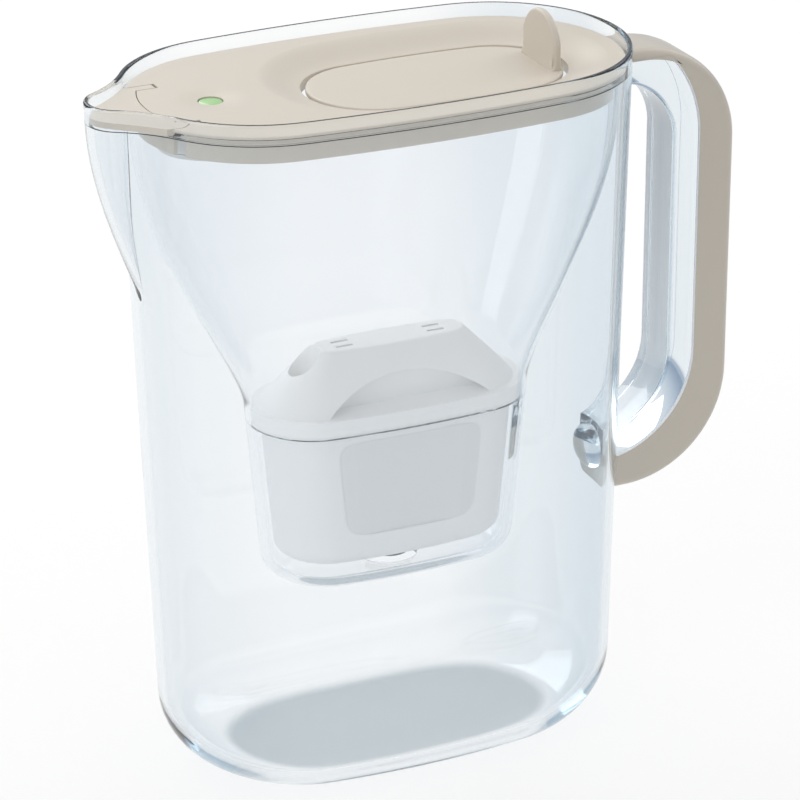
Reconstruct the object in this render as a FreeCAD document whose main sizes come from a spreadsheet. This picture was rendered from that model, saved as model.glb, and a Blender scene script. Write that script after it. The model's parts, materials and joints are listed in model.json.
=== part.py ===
import FreeCAD, Part
import math
import os
import re

import Sketcher
from FreeCAD import Vector

# A water filter jug: a clear jug with a handle, a clear funnel hung in its rim, a filter cartridge
# that drops into the funnel's cup, and a lid with a refill flap, a spout flap and a reminder light.
# Millimetres. The origin is on the table under the middle of the base, +Z is up, the spout points
# to -X and the handle to +X, so the jug is symmetric about Y = 0.

SIZES = {
    # Jug, outside. The rim is larger than the base and leans towards the spout.
    "jug_height": 277,
    "base_length": 184,
    "base_width": 99.4,
    "rim_length": 200,
    "rim_width": 108,
    "rim_lean": 3,
    "side_bow": 2.2,
    "end_round": 28,
    "side_round": 14.5,
    "round_rise": 28,
    # Jug, walls. A ledge inside the rim carries the funnel.
    "wall": 3,
    "floor_thick": 3.6,
    "rim_wall": 2,
    "ledge_drop": 8.5,
    # Spout nose, which grows out of the wall below the rim.
    "nose_drop": 87,
    "nose_rise": 66,
    "nose_reach": 15.5,
    "nose_sink": 2,
    "nose_radius": 13,
    "nose_back": 16,
    # Handle: a clear core moulded on the jug and a coloured grip over its outside.
    "handle_reach": 51.4,
    "handle_drop": 7.2,
    "handle_foot": 89,
    "core_width": 23,
    "core_thick": 10.7,
    "core_top_thick": 8.7,
    "core_foot": 113.5,
    "foot_sweep": 5.6,
    "seam_sweep": 12.4,
    "grip_width": 25,
    "grip_thick": 16.1,
    "grip_cap": 4.1,
    "grip_upper_flat": 10.4,
    "grip_lower_flat": 7.4,
    "grip_edge": 3,
    "grip_fit": 0.1,
    "rail_width": 8,
    "rail_thick": 5,
    "rail_length": 70,
    "boss_width": 22.6,
    "boss_rise": 24,
    "boss_depth": 6,
    # Gaps between pieces that lift apart.
    "seat_gap": 0.3,
    "rim_gap": 0.4,
    # Funnel.
    "funnel_wall": 2,
    "rim_flange": 1.9,
    "mouth_gap": 1.3,
    "mouth_straight": 6,
    "seat_height": 139.5,
    "seat_width": 2,
    "cup_taper": 6.5,
    "cup_side_taper": 1.2,
    "cup_floor": 2.4,
    "cup_round": 9,
    "drain_radius": 11,
    "floor_gap": 1.5,
    # Cartridge.
    "cartridge_length": 109,
    "cartridge_width": 50,
    "cartridge_bow": 1.5,
    "cartridge_gap": 0.5,
    "cartridge_depth": 57,
    "cartridge_taper": 5.5,
    "cartridge_wall": 1.5,
    "cartridge_round": 7,
    "collar_thick": 3,
    "collar_overhang": 3.6,
    "seal_thick": 1,
    "dome_height": 21,
    "dome_inset": 3,
    "dome_top_length": 62,
    "dome_top_width": 16,
    "dome_round": 2.5,
    "grip_recess_length": 66,
    "grip_recess_height": 12,
    "grip_recess_web": 24,
    "scoop_radius": 6,
    "vent_length": 7,
    "vent_width": 1.6,
    "vent_spacing": 38,
    "window_length": 60,
    "window_height": 39,
    "window_drop": 5,
    "window_depth": 0.8,
    "window_corner": 7,
    "sieve_thick": 1,
    "sieve_gap": 0.3,
    "nozzle_radius": 9,
    "nozzle_drop": 5,
    "nozzle_bore": 4,
    "nozzle_wall": 1,
    # Lid.
    "lid_edge": 1,
    "lid_thick": 2.4,
    "skirt_depth": 8,
    "skirt_wall": 1.6,
    "skirt_gap": 0.4,
    "dish_depth": 4.6,
    "dish_margin": 7.6,
    "dish_wall": 2.2,
    # Refill flap, hinged at its spout end and lifted by a fin at its handle end.
    "flap_place": 20.5,
    "flap_length": 101,
    "flap_width": 54,
    "flap_bow": 1,
    "flap_thick": 2.4,
    "flap_edge": 0.8,
    "flap_gap": 0.6,
    "finger_gap": 2,
    "flap_hinge_inset": 5,
    "flap_pin_radius": 0.8,
    "flap_pin_span": 40,
    "pin_gap": 0.05,
    "hinge_boss": 6,
    "fin_width": 27,
    "fin_height": 20.3,
    "fin_thick": 3,
    "fin_inset": 6,
    "stop_width": 16,
    "stop_thick": 1.5,
    "stop_reach": 2.5,
    # Spout flap, hinged behind the nose.
    "seam_back": 7.5,
    "seam_radius": 49,
    "spout_flap_width": 48,
    "spout_flap_gap": 0.4,
    "ear_width": 4,
    "ear_back": 11.5,
    "ear_pin_radius": 0.6,
    "ear_pin_length": 2.5,
    # Reminder light and its module under the lid.
    "module_back": 33,
    "module_radius": 19,
    "module_depth": 14.1,
    "module_wall": 1.6,
    "deck_drop": 2.6,
    "shelf_drop": 7.6,
    "module_fit": 0.05,
    "spigot_rise": 3,
    "ring_radius": 0.5,
    "dimple_radius": 14,
    "dimple_depth": 1,
    "button_radius": 4.5,
    "button_gap": 0.3,
    "button_travel": 0.8,
    "button_rest": 0.3,
    "button_collar": 5.5,
    "button_collar_thick": 1.2,
    "stem_radius": 2.5,
    "board_gap": 0.2,
    "board_thick": 0.8,
    "switch_side": 4.5,
    "switch_height": 1.6,
    "plunger_radius": 1.2,
    "plunger_height": 0.8,
    "led_length": 3.2,
    "led_width": 1.6,
    "led_height": 1.1,
    "led_place": 6,
    "cell_radius": 10,
    "cell_thick": 3.2,
    "contact_radius": 5,
    "contact_thick": 0.3,
    "clip_width": 8,
}

# Places and sizes that follow from the driving ones.
PLACES = {
    "ledge_z": "jug_height - ledge_drop",
    "nose_start": "jug_height - nose_drop",
    "spout_end": "-rim_length / 2 - rim_lean",
    "nose_centre": "spout_end - nose_reach + nose_radius",
    "handle_top": "jug_height - handle_drop",
    "handle_end": "base_length / 2 + handle_reach",
    "core_face": "handle_end - grip_thick",
    "core_inner": "core_face - core_thick",
    "finger_room": "core_inner - base_length / 2",
    "core_inner_round": "finger_room",
    "core_lower_round": "finger_room + foot_sweep",
    "grip_seam_round": "finger_room + core_thick + seam_sweep",
    "grip_upper_round": "handle_reach - grip_upper_flat",
    "grip_lower_round": "handle_reach - grip_lower_flat",
    "core_top": "handle_top - grip_cap",
    "core_turn": "core_top - core_top_thick - core_inner_round",
    "core_lower_turn": "core_foot + core_lower_round",
    "grip_turn": "handle_top - grip_upper_round",
    "wall_side": "base_length / 2 - wall / 2",
    "rail_middle": "(core_turn + core_lower_turn) / 2",
    "flange_z": "ledge_z + seat_gap",
    "flange_top": "flange_z + rim_flange",
    "mouth_z": "flange_z - mouth_straight",
    "collar_z": "seat_height + seat_gap + seal_thick",
    "cup_floor_z": "collar_z - cartridge_depth - nozzle_drop - floor_gap",
    "cup_bottom_z": "cup_floor_z - cup_floor",
    "neck_z": "collar_z + 2 * collar_thick",
    "cup_half_length": "cartridge_length / 2 + cartridge_gap",
    "cup_half_width": "cartridge_width / 2 + cartridge_gap",
    "neck_half_length": "cup_half_length + funnel_wall",
    "neck_half_width": "cup_half_width + funnel_wall",
    "lid_low": "flange_top + seat_gap",
    "lid_top": "lid_low + lid_edge",
    "lid_under": "lid_top - lid_thick",
    "skirt_low": "lid_top - skirt_depth",
    "dish_spread": "rim_width / 2 - rim_wall - rim_gap - dish_margin - flap_width / 2",
    "flap_top": "lid_top - dish_depth",
    "flap_under": "flap_top - flap_thick",
    "stop_top": "flap_under - seat_gap",
    "dish_low": "stop_top - stop_thick",
    "flap_end": "flap_place + flap_length / 2",
    "hinge_x": "flap_place - flap_length / 2 + flap_hinge_inset",
    "hinge_z": "flap_top - flap_thick / 2",
    "seam_x": "spout_end + seam_back",
    "ear_x": "seam_x + ear_back",
    "ear_z": "lid_top - lid_thick / 2",
    "module_x": "spout_end + module_back",
    "module_bore": "module_radius - module_wall",
    "stem_hole": "stem_radius + 2 * button_gap",
    "deck_low": "-deck_drop - module_wall",
    "cover_top": "-module_depth + module_wall",
    "board_low": "-shelf_drop - board_thick",
    "cell_top": "board_low - contact_thick",
    "cell_low": "cell_top - cell_thick",
    "body_half_length": "cartridge_length / 2 - collar_overhang",
    "body_half_width": "cartridge_width / 2 - collar_overhang",
    "body_inner_z": "cartridge_wall - cartridge_depth",
    "bed_top": "-2 * sieve_thick",
    "bed_low": "body_inner_z + sieve_thick",
    "dome_z": "2 * collar_thick",
    "dome_top": "dome_z + dome_height",
}

ARCH_ROUND = 0.51
FOOT_STEPS = 4
NOSE_STEPS = 4
FLARE_STEPS = 5
FLARE_EARLY = 0.72
OVERCUT = "1"

doc = FreeCAD.newDocument("water_filter_jug")
sheet = doc.addObject("Spreadsheet::Sheet", "sizes")
for row, (alias, number) in enumerate(SIZES.items(), start=1):
    sheet.set(f"A{row}", alias)
    sheet.set(f"B{row}", str(number))
    sheet.setAlias(f"B{row}", alias)
doc.recompute()


# Reading the sheet

def formula(text):
    """Write a formula of plain names as an expression on the sheet's cells."""
    def spell_out(match):
        word = match.group()
        if word in PLACES:
            return "(" + formula(PLACES[word]) + ")"
        if word in SIZES:
            return "sizes." + word
        return word
    return re.sub(r"[a-z_]+", spell_out, text)


def value(text):
    return float(sheet.evalExpression(formula(text)))


def bind(thing, **formulas):
    """Bind properties of an object to the sheet. A double underscore stands for a dot."""
    for name, text in formulas.items():
        thing.setExpression(name.replace("__", "."), formula(text))


# Sketches

def new_body(label, x="0", z="0"):
    body = doc.addObject("PartDesign::Body", label)
    body.Label = label
    bind(body, Placement__Base__x=x, Placement__Base__z=z)
    return body


def new_sketch(body, role, out="0", across="0"):
    """Start a sketch on one of the body's own planes, moved out along the plane's normal."""
    plane = next(item for item in body.Origin.OriginFeatures if item.Role == role)
    sketch = body.newObject("Sketcher::SketchObject", body.Label + "_sketch")
    sketch.AttachmentSupport = [(plane, "")]
    sketch.MapMode = "FlatFace"
    bind(sketch, AttachmentOffset__Base__z=out, AttachmentOffset__Base__x=across)
    return sketch


def drive(sketch, kind, where, text):
    number = sketch.addConstraint(Sketcher.Constraint(kind, *where, value(text)))
    sketch.setExpression(f"Constraints[{number}]", formula(text))


def circle(sketch, x, y, radius):
    round_line = Part.Circle(Vector(value(x), value(y), 0), Vector(0, 0, 1), value(radius))
    line = sketch.addGeometry(round_line)
    drive(sketch, "DistanceX", (-1, 1, line, 3), x)
    drive(sketch, "DistanceY", (-1, 1, line, 3), y)
    drive(sketch, "Radius", (line,), radius)
    return sketch


def outline(sketch, *corners):
    """Draw a closed outline. A corner is (x, y), or (x, y, radius, turn) where an arc leaves it.

    A turn of +1 swings the arc to the left of the straight way to the next corner, -1 to the right.
    """
    first = sketch.GeometryCount
    ends = []
    for here, there in zip(corners, corners[1:] + corners[:1]):
        start = Vector(value(here[0]), value(here[1]), 0)
        stop = Vector(value(there[0]), value(there[1]), 0)
        if len(here) == 2:
            sketch.addGeometry(Part.LineSegment(start, stop))
            ends.append((1, 2))
            continue
        chord = stop - start
        radius = value(here[2])
        swing = radius - math.sqrt(radius ** 2 - chord.Length ** 2 / 4)
        left = Vector(-chord.y, chord.x, 0).normalize()
        middle = (start + stop) / 2 + left * swing * here[3]
        sketch.addGeometry(Part.Arc(start, middle, stop))
        ends.append((2, 1) if here[3] > 0 else (1, 2))
    for number, corner in enumerate(corners):
        before = (number - 1) % len(corners)
        begin = (first + number, ends[number][0])
        sketch.addConstraint(Sketcher.Constraint("Coincident", first + before, ends[before][1], *begin))
        drive(sketch, "DistanceX", (-1, 1, *begin), corner[0])
        drive(sketch, "DistanceY", (-1, 1, *begin), corner[1])
        if len(corner) > 2:
            drive(sketch, "Radius", (first + number,), corner[2])
    return sketch


def rectangle(sketch, low_x, high_x, low_y, high_y):
    return outline(sketch, (low_x, low_y), (high_x, low_y), (high_x, high_y), (low_x, high_y))


def oval(body, z, half_length, half_width, bow, x="0"):
    """Sketch a level oval: two round ends joined by two slightly bowed sides, all tangent."""
    sketch = new_sketch(body, "XY_Plane", z, x)
    end = f"({half_width} - {bow})"
    reach = f"({half_length} - {end})"
    side = f"(({reach} ^ 2 / {bow} + {end} + {half_width}) / 2)"
    drop = value(side) - value(half_width)
    turn = math.atan2(drop, value(reach))
    right_end, top, left_end, bottom = range(4)
    arcs = (
        (value(reach), 0, value(end), -turn, turn),
        (0, -drop, value(side), turn, math.pi - turn),
        (-value(reach), 0, value(end), math.pi - turn, math.pi + turn),
        (0, drop, value(side), math.pi + turn, 2 * math.pi - turn),
    )
    for middle_x, middle_y, radius, start, stop in arcs:
        ring = Part.Circle(Vector(middle_x, middle_y, 0), Vector(0, 0, 1), radius)
        sketch.addGeometry(Part.ArcOfCircle(ring, start, stop))
    for arc in range(4):
        sketch.addConstraint(Sketcher.Constraint("Tangent", arc, 2, (arc + 1) % 4, 1))
    for arc in (right_end, left_end):
        sketch.addConstraint(Sketcher.Constraint("PointOnObject", arc, 3, -1))
    sketch.addConstraint(Sketcher.Constraint("Equal", right_end, left_end))
    sketch.addConstraint(Sketcher.Constraint("Equal", top, bottom))
    drive(sketch, "Radius", (right_end,), end)
    drive(sketch, "Radius", (top,), side)
    drive(sketch, "DistanceX", (-1, 1, right_end, 3), reach)
    drive(sketch, "DistanceX", (left_end, 3, -1, 1), reach)
    return sketch


# Features

def arch_shoulder(top, width):
    """Where a near-round arch of a width leaves its straight sides, and its radius."""
    radius = f"({width} * {ARCH_ROUND})"
    rise = f"({radius} - sqrt({radius} ^ 2 - ({width} / 2) ^ 2))"
    return f"({top} - {rise})", radius


def pad(body, sketch, length, symmetric=False, reverse=False):
    feature = body.newObject("PartDesign::Pad", body.Label + "_pad")
    feature.Profile = sketch
    feature.SideType = "Symmetric" if symmetric else "One side"
    feature.Reversed = reverse
    bind(feature, Length=length)
    doc.recompute()


def pocket(body, sketch, length, symmetric=False, reverse=False):
    """Cut a sketch against its plane's normal, and make sure that it took something away."""
    before = volume_of(body)
    feature = body.newObject("PartDesign::Pocket", body.Label + "_pocket")
    feature.Profile = sketch
    feature.SideType = "Symmetric" if symmetric else "One side"
    feature.Reversed = reverse
    bind(feature, Length=length)
    doc.recompute()
    require_less(body, before)


def loft(body, sketches, cut=False, ruled=False):
    before = volume_of(body)
    kind = "SubtractiveLoft" if cut else "AdditiveLoft"
    feature = body.newObject("PartDesign::" + kind, body.Label + "_loft")
    feature.Profile = sketches[0]
    feature.Sections = sketches[1:]
    feature.Ruled = ruled
    doc.recompute()
    if cut:
        require_less(body, before)


def revolve(body, sketch, cut=False):
    before = volume_of(body)
    kind = "Groove" if cut else "Revolution"
    feature = body.newObject("PartDesign::" + kind, body.Label + "_turned")
    feature.Profile = sketch
    feature.ReferenceAxis = (sketch, ["V_Axis"])
    feature.Angle = 360
    doc.recompute()
    if cut:
        require_less(body, before)


def volume_of(body):
    return 0 if body.Tip is None else body.Tip.Shape.Volume


def require_less(body, before):
    if volume_of(body) > before - 1e-6:
        raise RuntimeError(f"a cut in {body.Label} took nothing away")


def fillet(body, chosen, radius):
    """Round the edges of the body's last feature that the test picks."""
    base = body.Tip
    names = [f"Edge{n}" for n, edge in enumerate(base.Shape.Edges, start=1) if chosen(edge)]
    feature = body.newObject("PartDesign::Fillet", body.Label + "_round")
    feature.Base = (base, names)
    bind(feature, Radius=radius)
    doc.recompute()


def level_at(z):
    """Pick the edges that lie level at one height."""
    height = value(z)
    return lambda edge: max(abs(edge.BoundBox.ZMin - height), abs(edge.BoundBox.ZMax - height)) < 1e-4


def rounded_foot(
    body, low, rise, end_round, side_round, length_at, width_at, bow, middle_at=lambda z: "0", cut=False
):
    """Loft a cup's rounded lower edge: level ovals that open out along a quarter of an ellipse."""
    sections = []
    for step in range(FOOT_STEPS + 1):
        turn = math.pi / 2 * step / FOOT_STEPS
        z = f"({low} + {rise} * {1 - math.cos(turn):.6f})"
        drawn = f"{1 - math.sin(turn):.6f}"
        half_length = f"({length_at(z)} - {end_round} * {drawn})"
        half_width = f"({width_at(z)} - {side_round} * {drawn})"
        sections.append(oval(body, z, half_length, half_width, bow, middle_at(z)))
    loft(body, sections, cut)


def joined(label, kind, base, tool):
    result = doc.addObject("Part::" + kind, label)
    result.Label = label
    result.Base = base
    result.Tool = tool
    result.Refine = True
    doc.recompute()
    return result


# Jug

def jug_length(z, inset):
    return f"((base_length + (rim_length - base_length) * ({z}) / jug_height) / 2 - ({inset}))"


def jug_width(z, inset):
    return f"((base_width + (rim_width - base_width) * ({z}) / jug_height) / 2 - ({inset}))"


def jug_middle(z):
    return f"-rim_lean * ({z}) / jug_height"


def jug_oval(body, z, inset, outline_z=None):
    """The jug's outline at a height, moved inwards. The rim's outline can be used lower down."""
    level = outline_z or z
    return oval(body, z, jug_length(level, inset), jug_width(level, inset), "side_bow", jug_middle(level))


def nose_wedge(body, z, tip_middle, radius):
    """The spout's outline: a round tip and two straight flanks that run back into the jug."""
    sketch = new_sketch(body, "XY_Plane", z, tip_middle)
    touch = f"({radius}) * sqrt(2) / 2"
    spread = f"({radius}) * sqrt(2) + nose_back"
    return outline(
        sketch,
        ("-" + touch, "-" + touch),
        ("nose_back", f"-({spread})"),
        ("nose_back", spread),
        ("-" + touch, touch, radius, -1),
    )


def jug_solid(label, inset, floor):
    """The jug's outer form, or with an inset and a floor the hollow inside it."""
    body = new_body(label)
    rounded_foot(
        body, floor, f"(round_rise - ({floor}))", "end_round", "side_round",
        lambda z: jug_length(z, inset), lambda z: jug_width(z, inset), "side_bow", jug_middle,
    )
    loft(body, [jug_oval(body, "round_rise", inset), jug_oval(body, "jug_height", inset)], ruled=True)
    nose = []
    for step in range(NOSE_STEPS + 1):
        z = f"(nose_start + nose_rise * {step / NOSE_STEPS:.6f})"
        nose.append((z, math.sin(math.pi / 2 * step / NOSE_STEPS)))
    nose.append(("jug_height", 1))
    sections = []
    for z, share in nose:
        reach = f"((nose_reach + nose_sink) * {share:.6f} - nose_sink)"
        middle = f"{jug_middle(z)} - {jug_length(z, '0')} - {reach} + nose_radius"
        sections.append(nose_wedge(body, z, middle, f"nose_radius - ({inset})"))
    loft(body, sections)
    return body


def add_ledge(hollow):
    """Widen the hollow above the ledge that the funnel's flange rests on."""
    depth = f"ledge_drop + {OVERCUT}"
    pad(hollow, jug_oval(hollow, "ledge_z", "rim_wall", "jug_height"), depth)
    pad(hollow, nose_wedge(hollow, "ledge_z", "nose_centre", "nose_radius - rim_wall"), depth)


def seam_corners(gap):
    """Where the grip meets the core, from the jug's wall at the top to the wall at the bottom."""
    lower_round = "(core_lower_round + core_thick)"
    seam_middle = "(core_face - grip_seam_round)"
    seam_rise = "(core_top - core_turn)"
    corner = f"{seam_middle} + sqrt(grip_seam_round ^ 2 - {seam_rise} ^ 2)"
    foot_back = f"(wall_side - core_face + {lower_round})"
    foot = f"core_lower_turn - sqrt({lower_round} ^ 2 - {foot_back} ^ 2)"
    return (
        ("wall_side", f"core_top + {gap}"),
        (f"{corner} + {gap}", f"core_top + {gap}", f"grip_seam_round + {gap}", 1),
        (f"core_face + {gap}", "core_turn"),
        (f"core_face + {gap}", "core_lower_turn", f"{lower_round} + {gap}", 1),
        ("wall_side", f"{foot} - {gap}"),
    )


def handle_core():
    """The clear handle: a C-shaped bar on the jug's end, with a rail for the grip."""
    body = new_body("handle_core")
    foot_back = "(wall_side - core_inner + core_lower_round)"
    inner_foot = f"core_lower_turn - sqrt(core_lower_round ^ 2 - {foot_back} ^ 2)"
    inner = (
        ("wall_side", inner_foot, "core_lower_round", -1),
        ("core_inner", "core_lower_turn"),
        ("core_inner", "core_turn", "core_inner_round", -1),
        ("core_inner - core_inner_round", "core_turn + core_inner_round"),
        ("wall_side", "core_turn + core_inner_round"),
    )
    profile = outline(new_sketch(body, "XZ_Plane"), *seam_corners("0"), *inner)
    pad(body, profile, "core_width", symmetric=True)
    rail = rectangle(
        new_sketch(body, "XZ_Plane"),
        "core_face - rail_thick / 2",
        "core_face + rail_thick",
        "rail_middle - rail_length / 2",
        "rail_middle + rail_length / 2",
    )
    pad(body, rail, "rail_width", symmetric=True)
    return body


def handle_boss():
    """The arched block inside the jug's wall behind the handle's foot."""
    body = new_body("handle_boss")
    half = "boss_width / 2"
    shoulder, radius = arch_shoulder("handle_foot + boss_rise", "boss_width")
    arch = outline(
        new_sketch(body, "YZ_Plane", "wall_side - boss_depth"),
        ("-" + half, "handle_foot"),
        (half, "handle_foot"),
        (half, shoulder, radius, -1),
        ("-" + half, shoulder),
    )
    pad(body, arch, "boss_depth")
    return body


def make_jug(form):
    hollow = jug_solid("jug_hollow", "wall", "floor_thick")
    add_ledge(hollow)
    shell = joined("jug_with_core", "Fuse", form, handle_core())
    shell = joined("jug_shell", "Cut", shell, hollow)
    return joined("jug", "Fuse", shell, handle_boss())


def make_handle_grip(form):
    """The coloured grip round the outside of the core, ending against the jug's wall."""
    body = new_body("grip_blank")
    outer = (
        ("wall_side", "handle_foot"),
        ("handle_end - grip_lower_round", "handle_foot", "grip_lower_round", -1),
        ("handle_end", "handle_foot + grip_lower_round"),
        ("handle_end", "grip_turn", "grip_upper_round", -1),
        ("handle_end - grip_upper_round", "handle_top"),
        ("wall_side", "handle_top"),
    )
    profile = outline(new_sketch(body, "XZ_Plane"), *seam_corners("grip_fit"), *outer)
    pad(body, profile, "grip_width", symmetric=True)
    seam = value("core_face + grip_fit")
    end = value("wall_side")
    low, high = value("handle_foot"), value("handle_top")

    def on_outer_side(edge):
        box = edge.BoundBox
        flat = box.YLength < 1e-6 and box.XMax > end + 1
        top_or_foot = min(abs(box.ZMin - low), abs(box.ZMax - high)) < 1e-4
        outside = box.XMax > seam + 1 and box.XMin > end + 1
        return flat and (outside or top_or_foot)

    fillet(body, on_outer_side, "grip_edge")
    rail_slot = rectangle(
        new_sketch(body, "XZ_Plane"),
        "core_face - rail_thick / 2",
        "core_face + rail_thick + grip_fit",
        "rail_middle - rail_length / 2 - grip_fit",
        "rail_middle + rail_length / 2 + grip_fit",
    )
    pocket(body, rail_slot, "rail_width + 2 * grip_fit", symmetric=True)
    return joined("handle_grip", "Cut", body, form)


# Funnel

def mouth_oval(body, z, inset):
    return jug_oval(body, z, f"wall + mouth_gap + {inset}", "ledge_z")


def funnel_flare(body, low_z, inset, cut):
    """The curved part between the cup's neck and the mouth, wider early on."""
    sections = []
    for step in range(FLARE_STEPS + 1):
        share = step / FLARE_STEPS
        eased = share ** FLARE_EARLY
        spread = 3 * eased ** 2 - 2 * eased ** 3
        z = f"({low_z} + (mouth_z - ({low_z})) * {share:.6f})"
        mouth_inset = f"wall + mouth_gap + {inset}"
        long = f"(neck_half_length - {inset})"
        wide = f"(neck_half_width - {inset})"
        half_length = f"({long} + ({jug_length('ledge_z', mouth_inset)} - {long}) * {spread:.6f})"
        half_width = f"({wide} + ({jug_width('ledge_z', mouth_inset)} - {wide}) * {spread:.6f})"
        bow = f"(cartridge_bow + (side_bow - cartridge_bow) * {spread:.6f})"
        sections.append(oval(body, z, half_length, half_width, bow, f"{jug_middle('ledge_z')} * {spread:.6f}"))
    loft(body, sections, cut)


def make_funnel():
    body = new_body("funnel")
    bow = "cartridge_bow"
    share = "(neck_z - ({z})) / (neck_z - cup_bottom_z)"

    def length_at(z):
        return "(neck_half_length - cup_taper * " + share.format(z=z) + ")"

    def width_at(z):
        return "(neck_half_width - cup_side_taper * " + share.format(z=z) + ")"

    rounded_foot(body, "cup_bottom_z", "cup_round", "cup_round", "cup_round", length_at, width_at, bow)
    cup_side = "cup_bottom_z + cup_round"
    foot = oval(body, cup_side, length_at(cup_side), width_at(cup_side), bow)
    neck = oval(body, "neck_z", "neck_half_length", "neck_half_width", bow)
    loft(body, [foot, neck], ruled=True)
    funnel_flare(body, "neck_z", "0", cut=False)
    pad(body, mouth_oval(body, "mouth_z", "0"), "flange_top - mouth_z")
    pad(body, jug_oval(body, "flange_z", "rim_wall + rim_gap", "jug_height"), "rim_flange")
    cup_top = oval(body, "seat_height", "cup_half_length - seat_width", "cup_half_width - seat_width", bow)
    cup_low_length = "cup_half_length - seat_width - cup_taper"
    cup_low_width = "cup_half_width - seat_width - cup_side_taper"
    loft(body, [oval(body, "cup_floor_z", cup_low_length, cup_low_width, bow), cup_top], cut=True, ruled=True)
    seat = oval(body, "neck_z", "cup_half_length", "cup_half_width", bow)
    pocket(body, seat, "neck_z - seat_height")
    funnel_flare(body, "neck_z", "funnel_wall", cut=True)
    pocket(body, mouth_oval(body, "flange_top", "funnel_wall"), "flange_top - mouth_z")
    drain = circle(new_sketch(body, "XY_Plane", "cup_floor_z"), "0", "0", "drain_radius")
    pocket(body, drain, "cup_floor")
    notch_half = "spout_flap_width / 2 + rim_gap"
    notch = rectangle(
        new_sketch(body, "XY_Plane", "flange_top"),
        "spout_end",
        "seam_x + seam_back",
        f"-({notch_half})",
        notch_half,
    )
    pocket(body, notch, "flange_top - lid_under + seat_gap")
    return body


# Lid

def lid_edge_oval(body, z):
    return jug_oval(body, z, "rim_wall + rim_gap", "jug_height")


def flap_oval(body, z, spread_x, spread_y):
    half_length = f"(flap_length / 2 + {spread_x})"
    half_width = f"(flap_width / 2 + {spread_y})"
    return oval(body, z, half_length, half_width, "flap_bow", "flap_place")


def spout_zone(body, z, gap):
    """The area of the spout flap, from the curved seam forward."""
    half = f"(spout_flap_width / 2 + {gap})"
    corner = f"seam_x + {gap} + seam_radius - sqrt(seam_radius ^ 2 - {half} ^ 2)"
    front = f"(nose_centre - nose_radius - {OVERCUT})"
    zone = outline(
        new_sketch(body, "XY_Plane", z),
        (front, "-" + half),
        (corner, "-" + half, "seam_radius", 1),
        (corner, half),
        (front, half),
    )
    return zone


def lid_hinges(body):
    """Blocks under the dish for the refill flap's pins."""
    outer = "(flap_pin_span / 2 + pin_gap + dish_wall)"
    inner = "(flap_width / 4)"
    for low, high in (("-" + outer, "-" + inner), (inner, outer)):
        block = rectangle(
            new_sketch(body, "XY_Plane", "dish_low"),
            "hinge_x - hinge_boss / 2",
            "hinge_x + hinge_boss / 2",
            low,
            high,
        )
        pad(body, block, "flap_top - dish_low")


def make_lid():
    body = new_body("lid")
    skirt_inset = "funnel_wall + skirt_gap"
    pad(body, lid_edge_oval(body, "lid_low"), "lid_edge")
    pad(body, mouth_oval(body, "skirt_low", skirt_inset), "lid_low - skirt_low")
    pocket(body, mouth_oval(body, "lid_under", f"{skirt_inset} + skirt_wall"), "lid_under - skirt_low")
    dish_wall_spread = ("finger_gap + dish_wall", "flap_gap + dish_wall")
    dish = [
        flap_oval(body, "dish_low", *dish_wall_spread),
        flap_oval(body, "lid_under", "dish_spread", "dish_spread"),
    ]
    loft(body, dish, ruled=True)
    lid_hinges(body)
    bowl = [
        flap_oval(body, "flap_top", "finger_gap", "flap_gap"),
        flap_oval(body, "lid_top", "dish_spread", "dish_spread"),
    ]
    loft(body, bowl, cut=True, ruled=True)
    pocket(body, flap_oval(body, "flap_top", "finger_gap", "flap_gap"), "flap_top - dish_low")
    stop = rectangle(
        new_sketch(body, "XY_Plane", "dish_low"),
        "flap_end - stop_reach",
        "flap_end + finger_gap + dish_wall / 2",
        "-stop_width / 2",
        "stop_width / 2",
    )
    pad(body, stop, "stop_thick")
    flap_holes = circle(new_sketch(body, "XZ_Plane"), "hinge_x", "hinge_z", "flap_pin_radius + pin_gap")
    pocket(body, flap_holes, "flap_pin_span + 2 * pin_gap", symmetric=True)
    pocket(body, spout_zone(body, "lid_top", "spout_flap_gap"), "skirt_depth")
    ear_half = "spout_flap_width / 2"
    for inner, outer in (
        (f"{ear_half} - ear_width - spout_flap_gap", f"{ear_half} + spout_flap_gap"),
        (f"-({ear_half} + spout_flap_gap)", f"-({ear_half} - ear_width - spout_flap_gap)"),
    ):
        notch = rectangle(
            new_sketch(body, "XY_Plane", "lid_top"),
            "seam_x",
            "ear_x + lid_thick / 2 + spout_flap_gap",
            inner,
            outer,
        )
        pocket(body, notch, "skirt_depth")
    ear_span = "spout_flap_width + 2 * ear_pin_length + 2 * pin_gap"
    ear_holes = circle(new_sketch(body, "XZ_Plane"), "ear_x", "ear_z", "ear_pin_radius + pin_gap")
    pocket(body, ear_holes, ear_span, symmetric=True)
    curve = "(dimple_radius ^ 2 + dimple_depth ^ 2) / (2 * dimple_depth)"
    dimple = outline(
        new_sketch(body, "XZ_Plane", across="module_x"),
        ("0", "lid_top - dimple_depth", curve, -1),
        ("dimple_radius", "lid_top"),
        ("0", "lid_top"),
    )
    revolve(body, dimple, cut=True)
    hole = circle(new_sketch(body, "XY_Plane", "lid_top"), "module_x", "0", "button_radius + button_gap")
    pocket(body, hole, "lid_thick")
    return body


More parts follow.
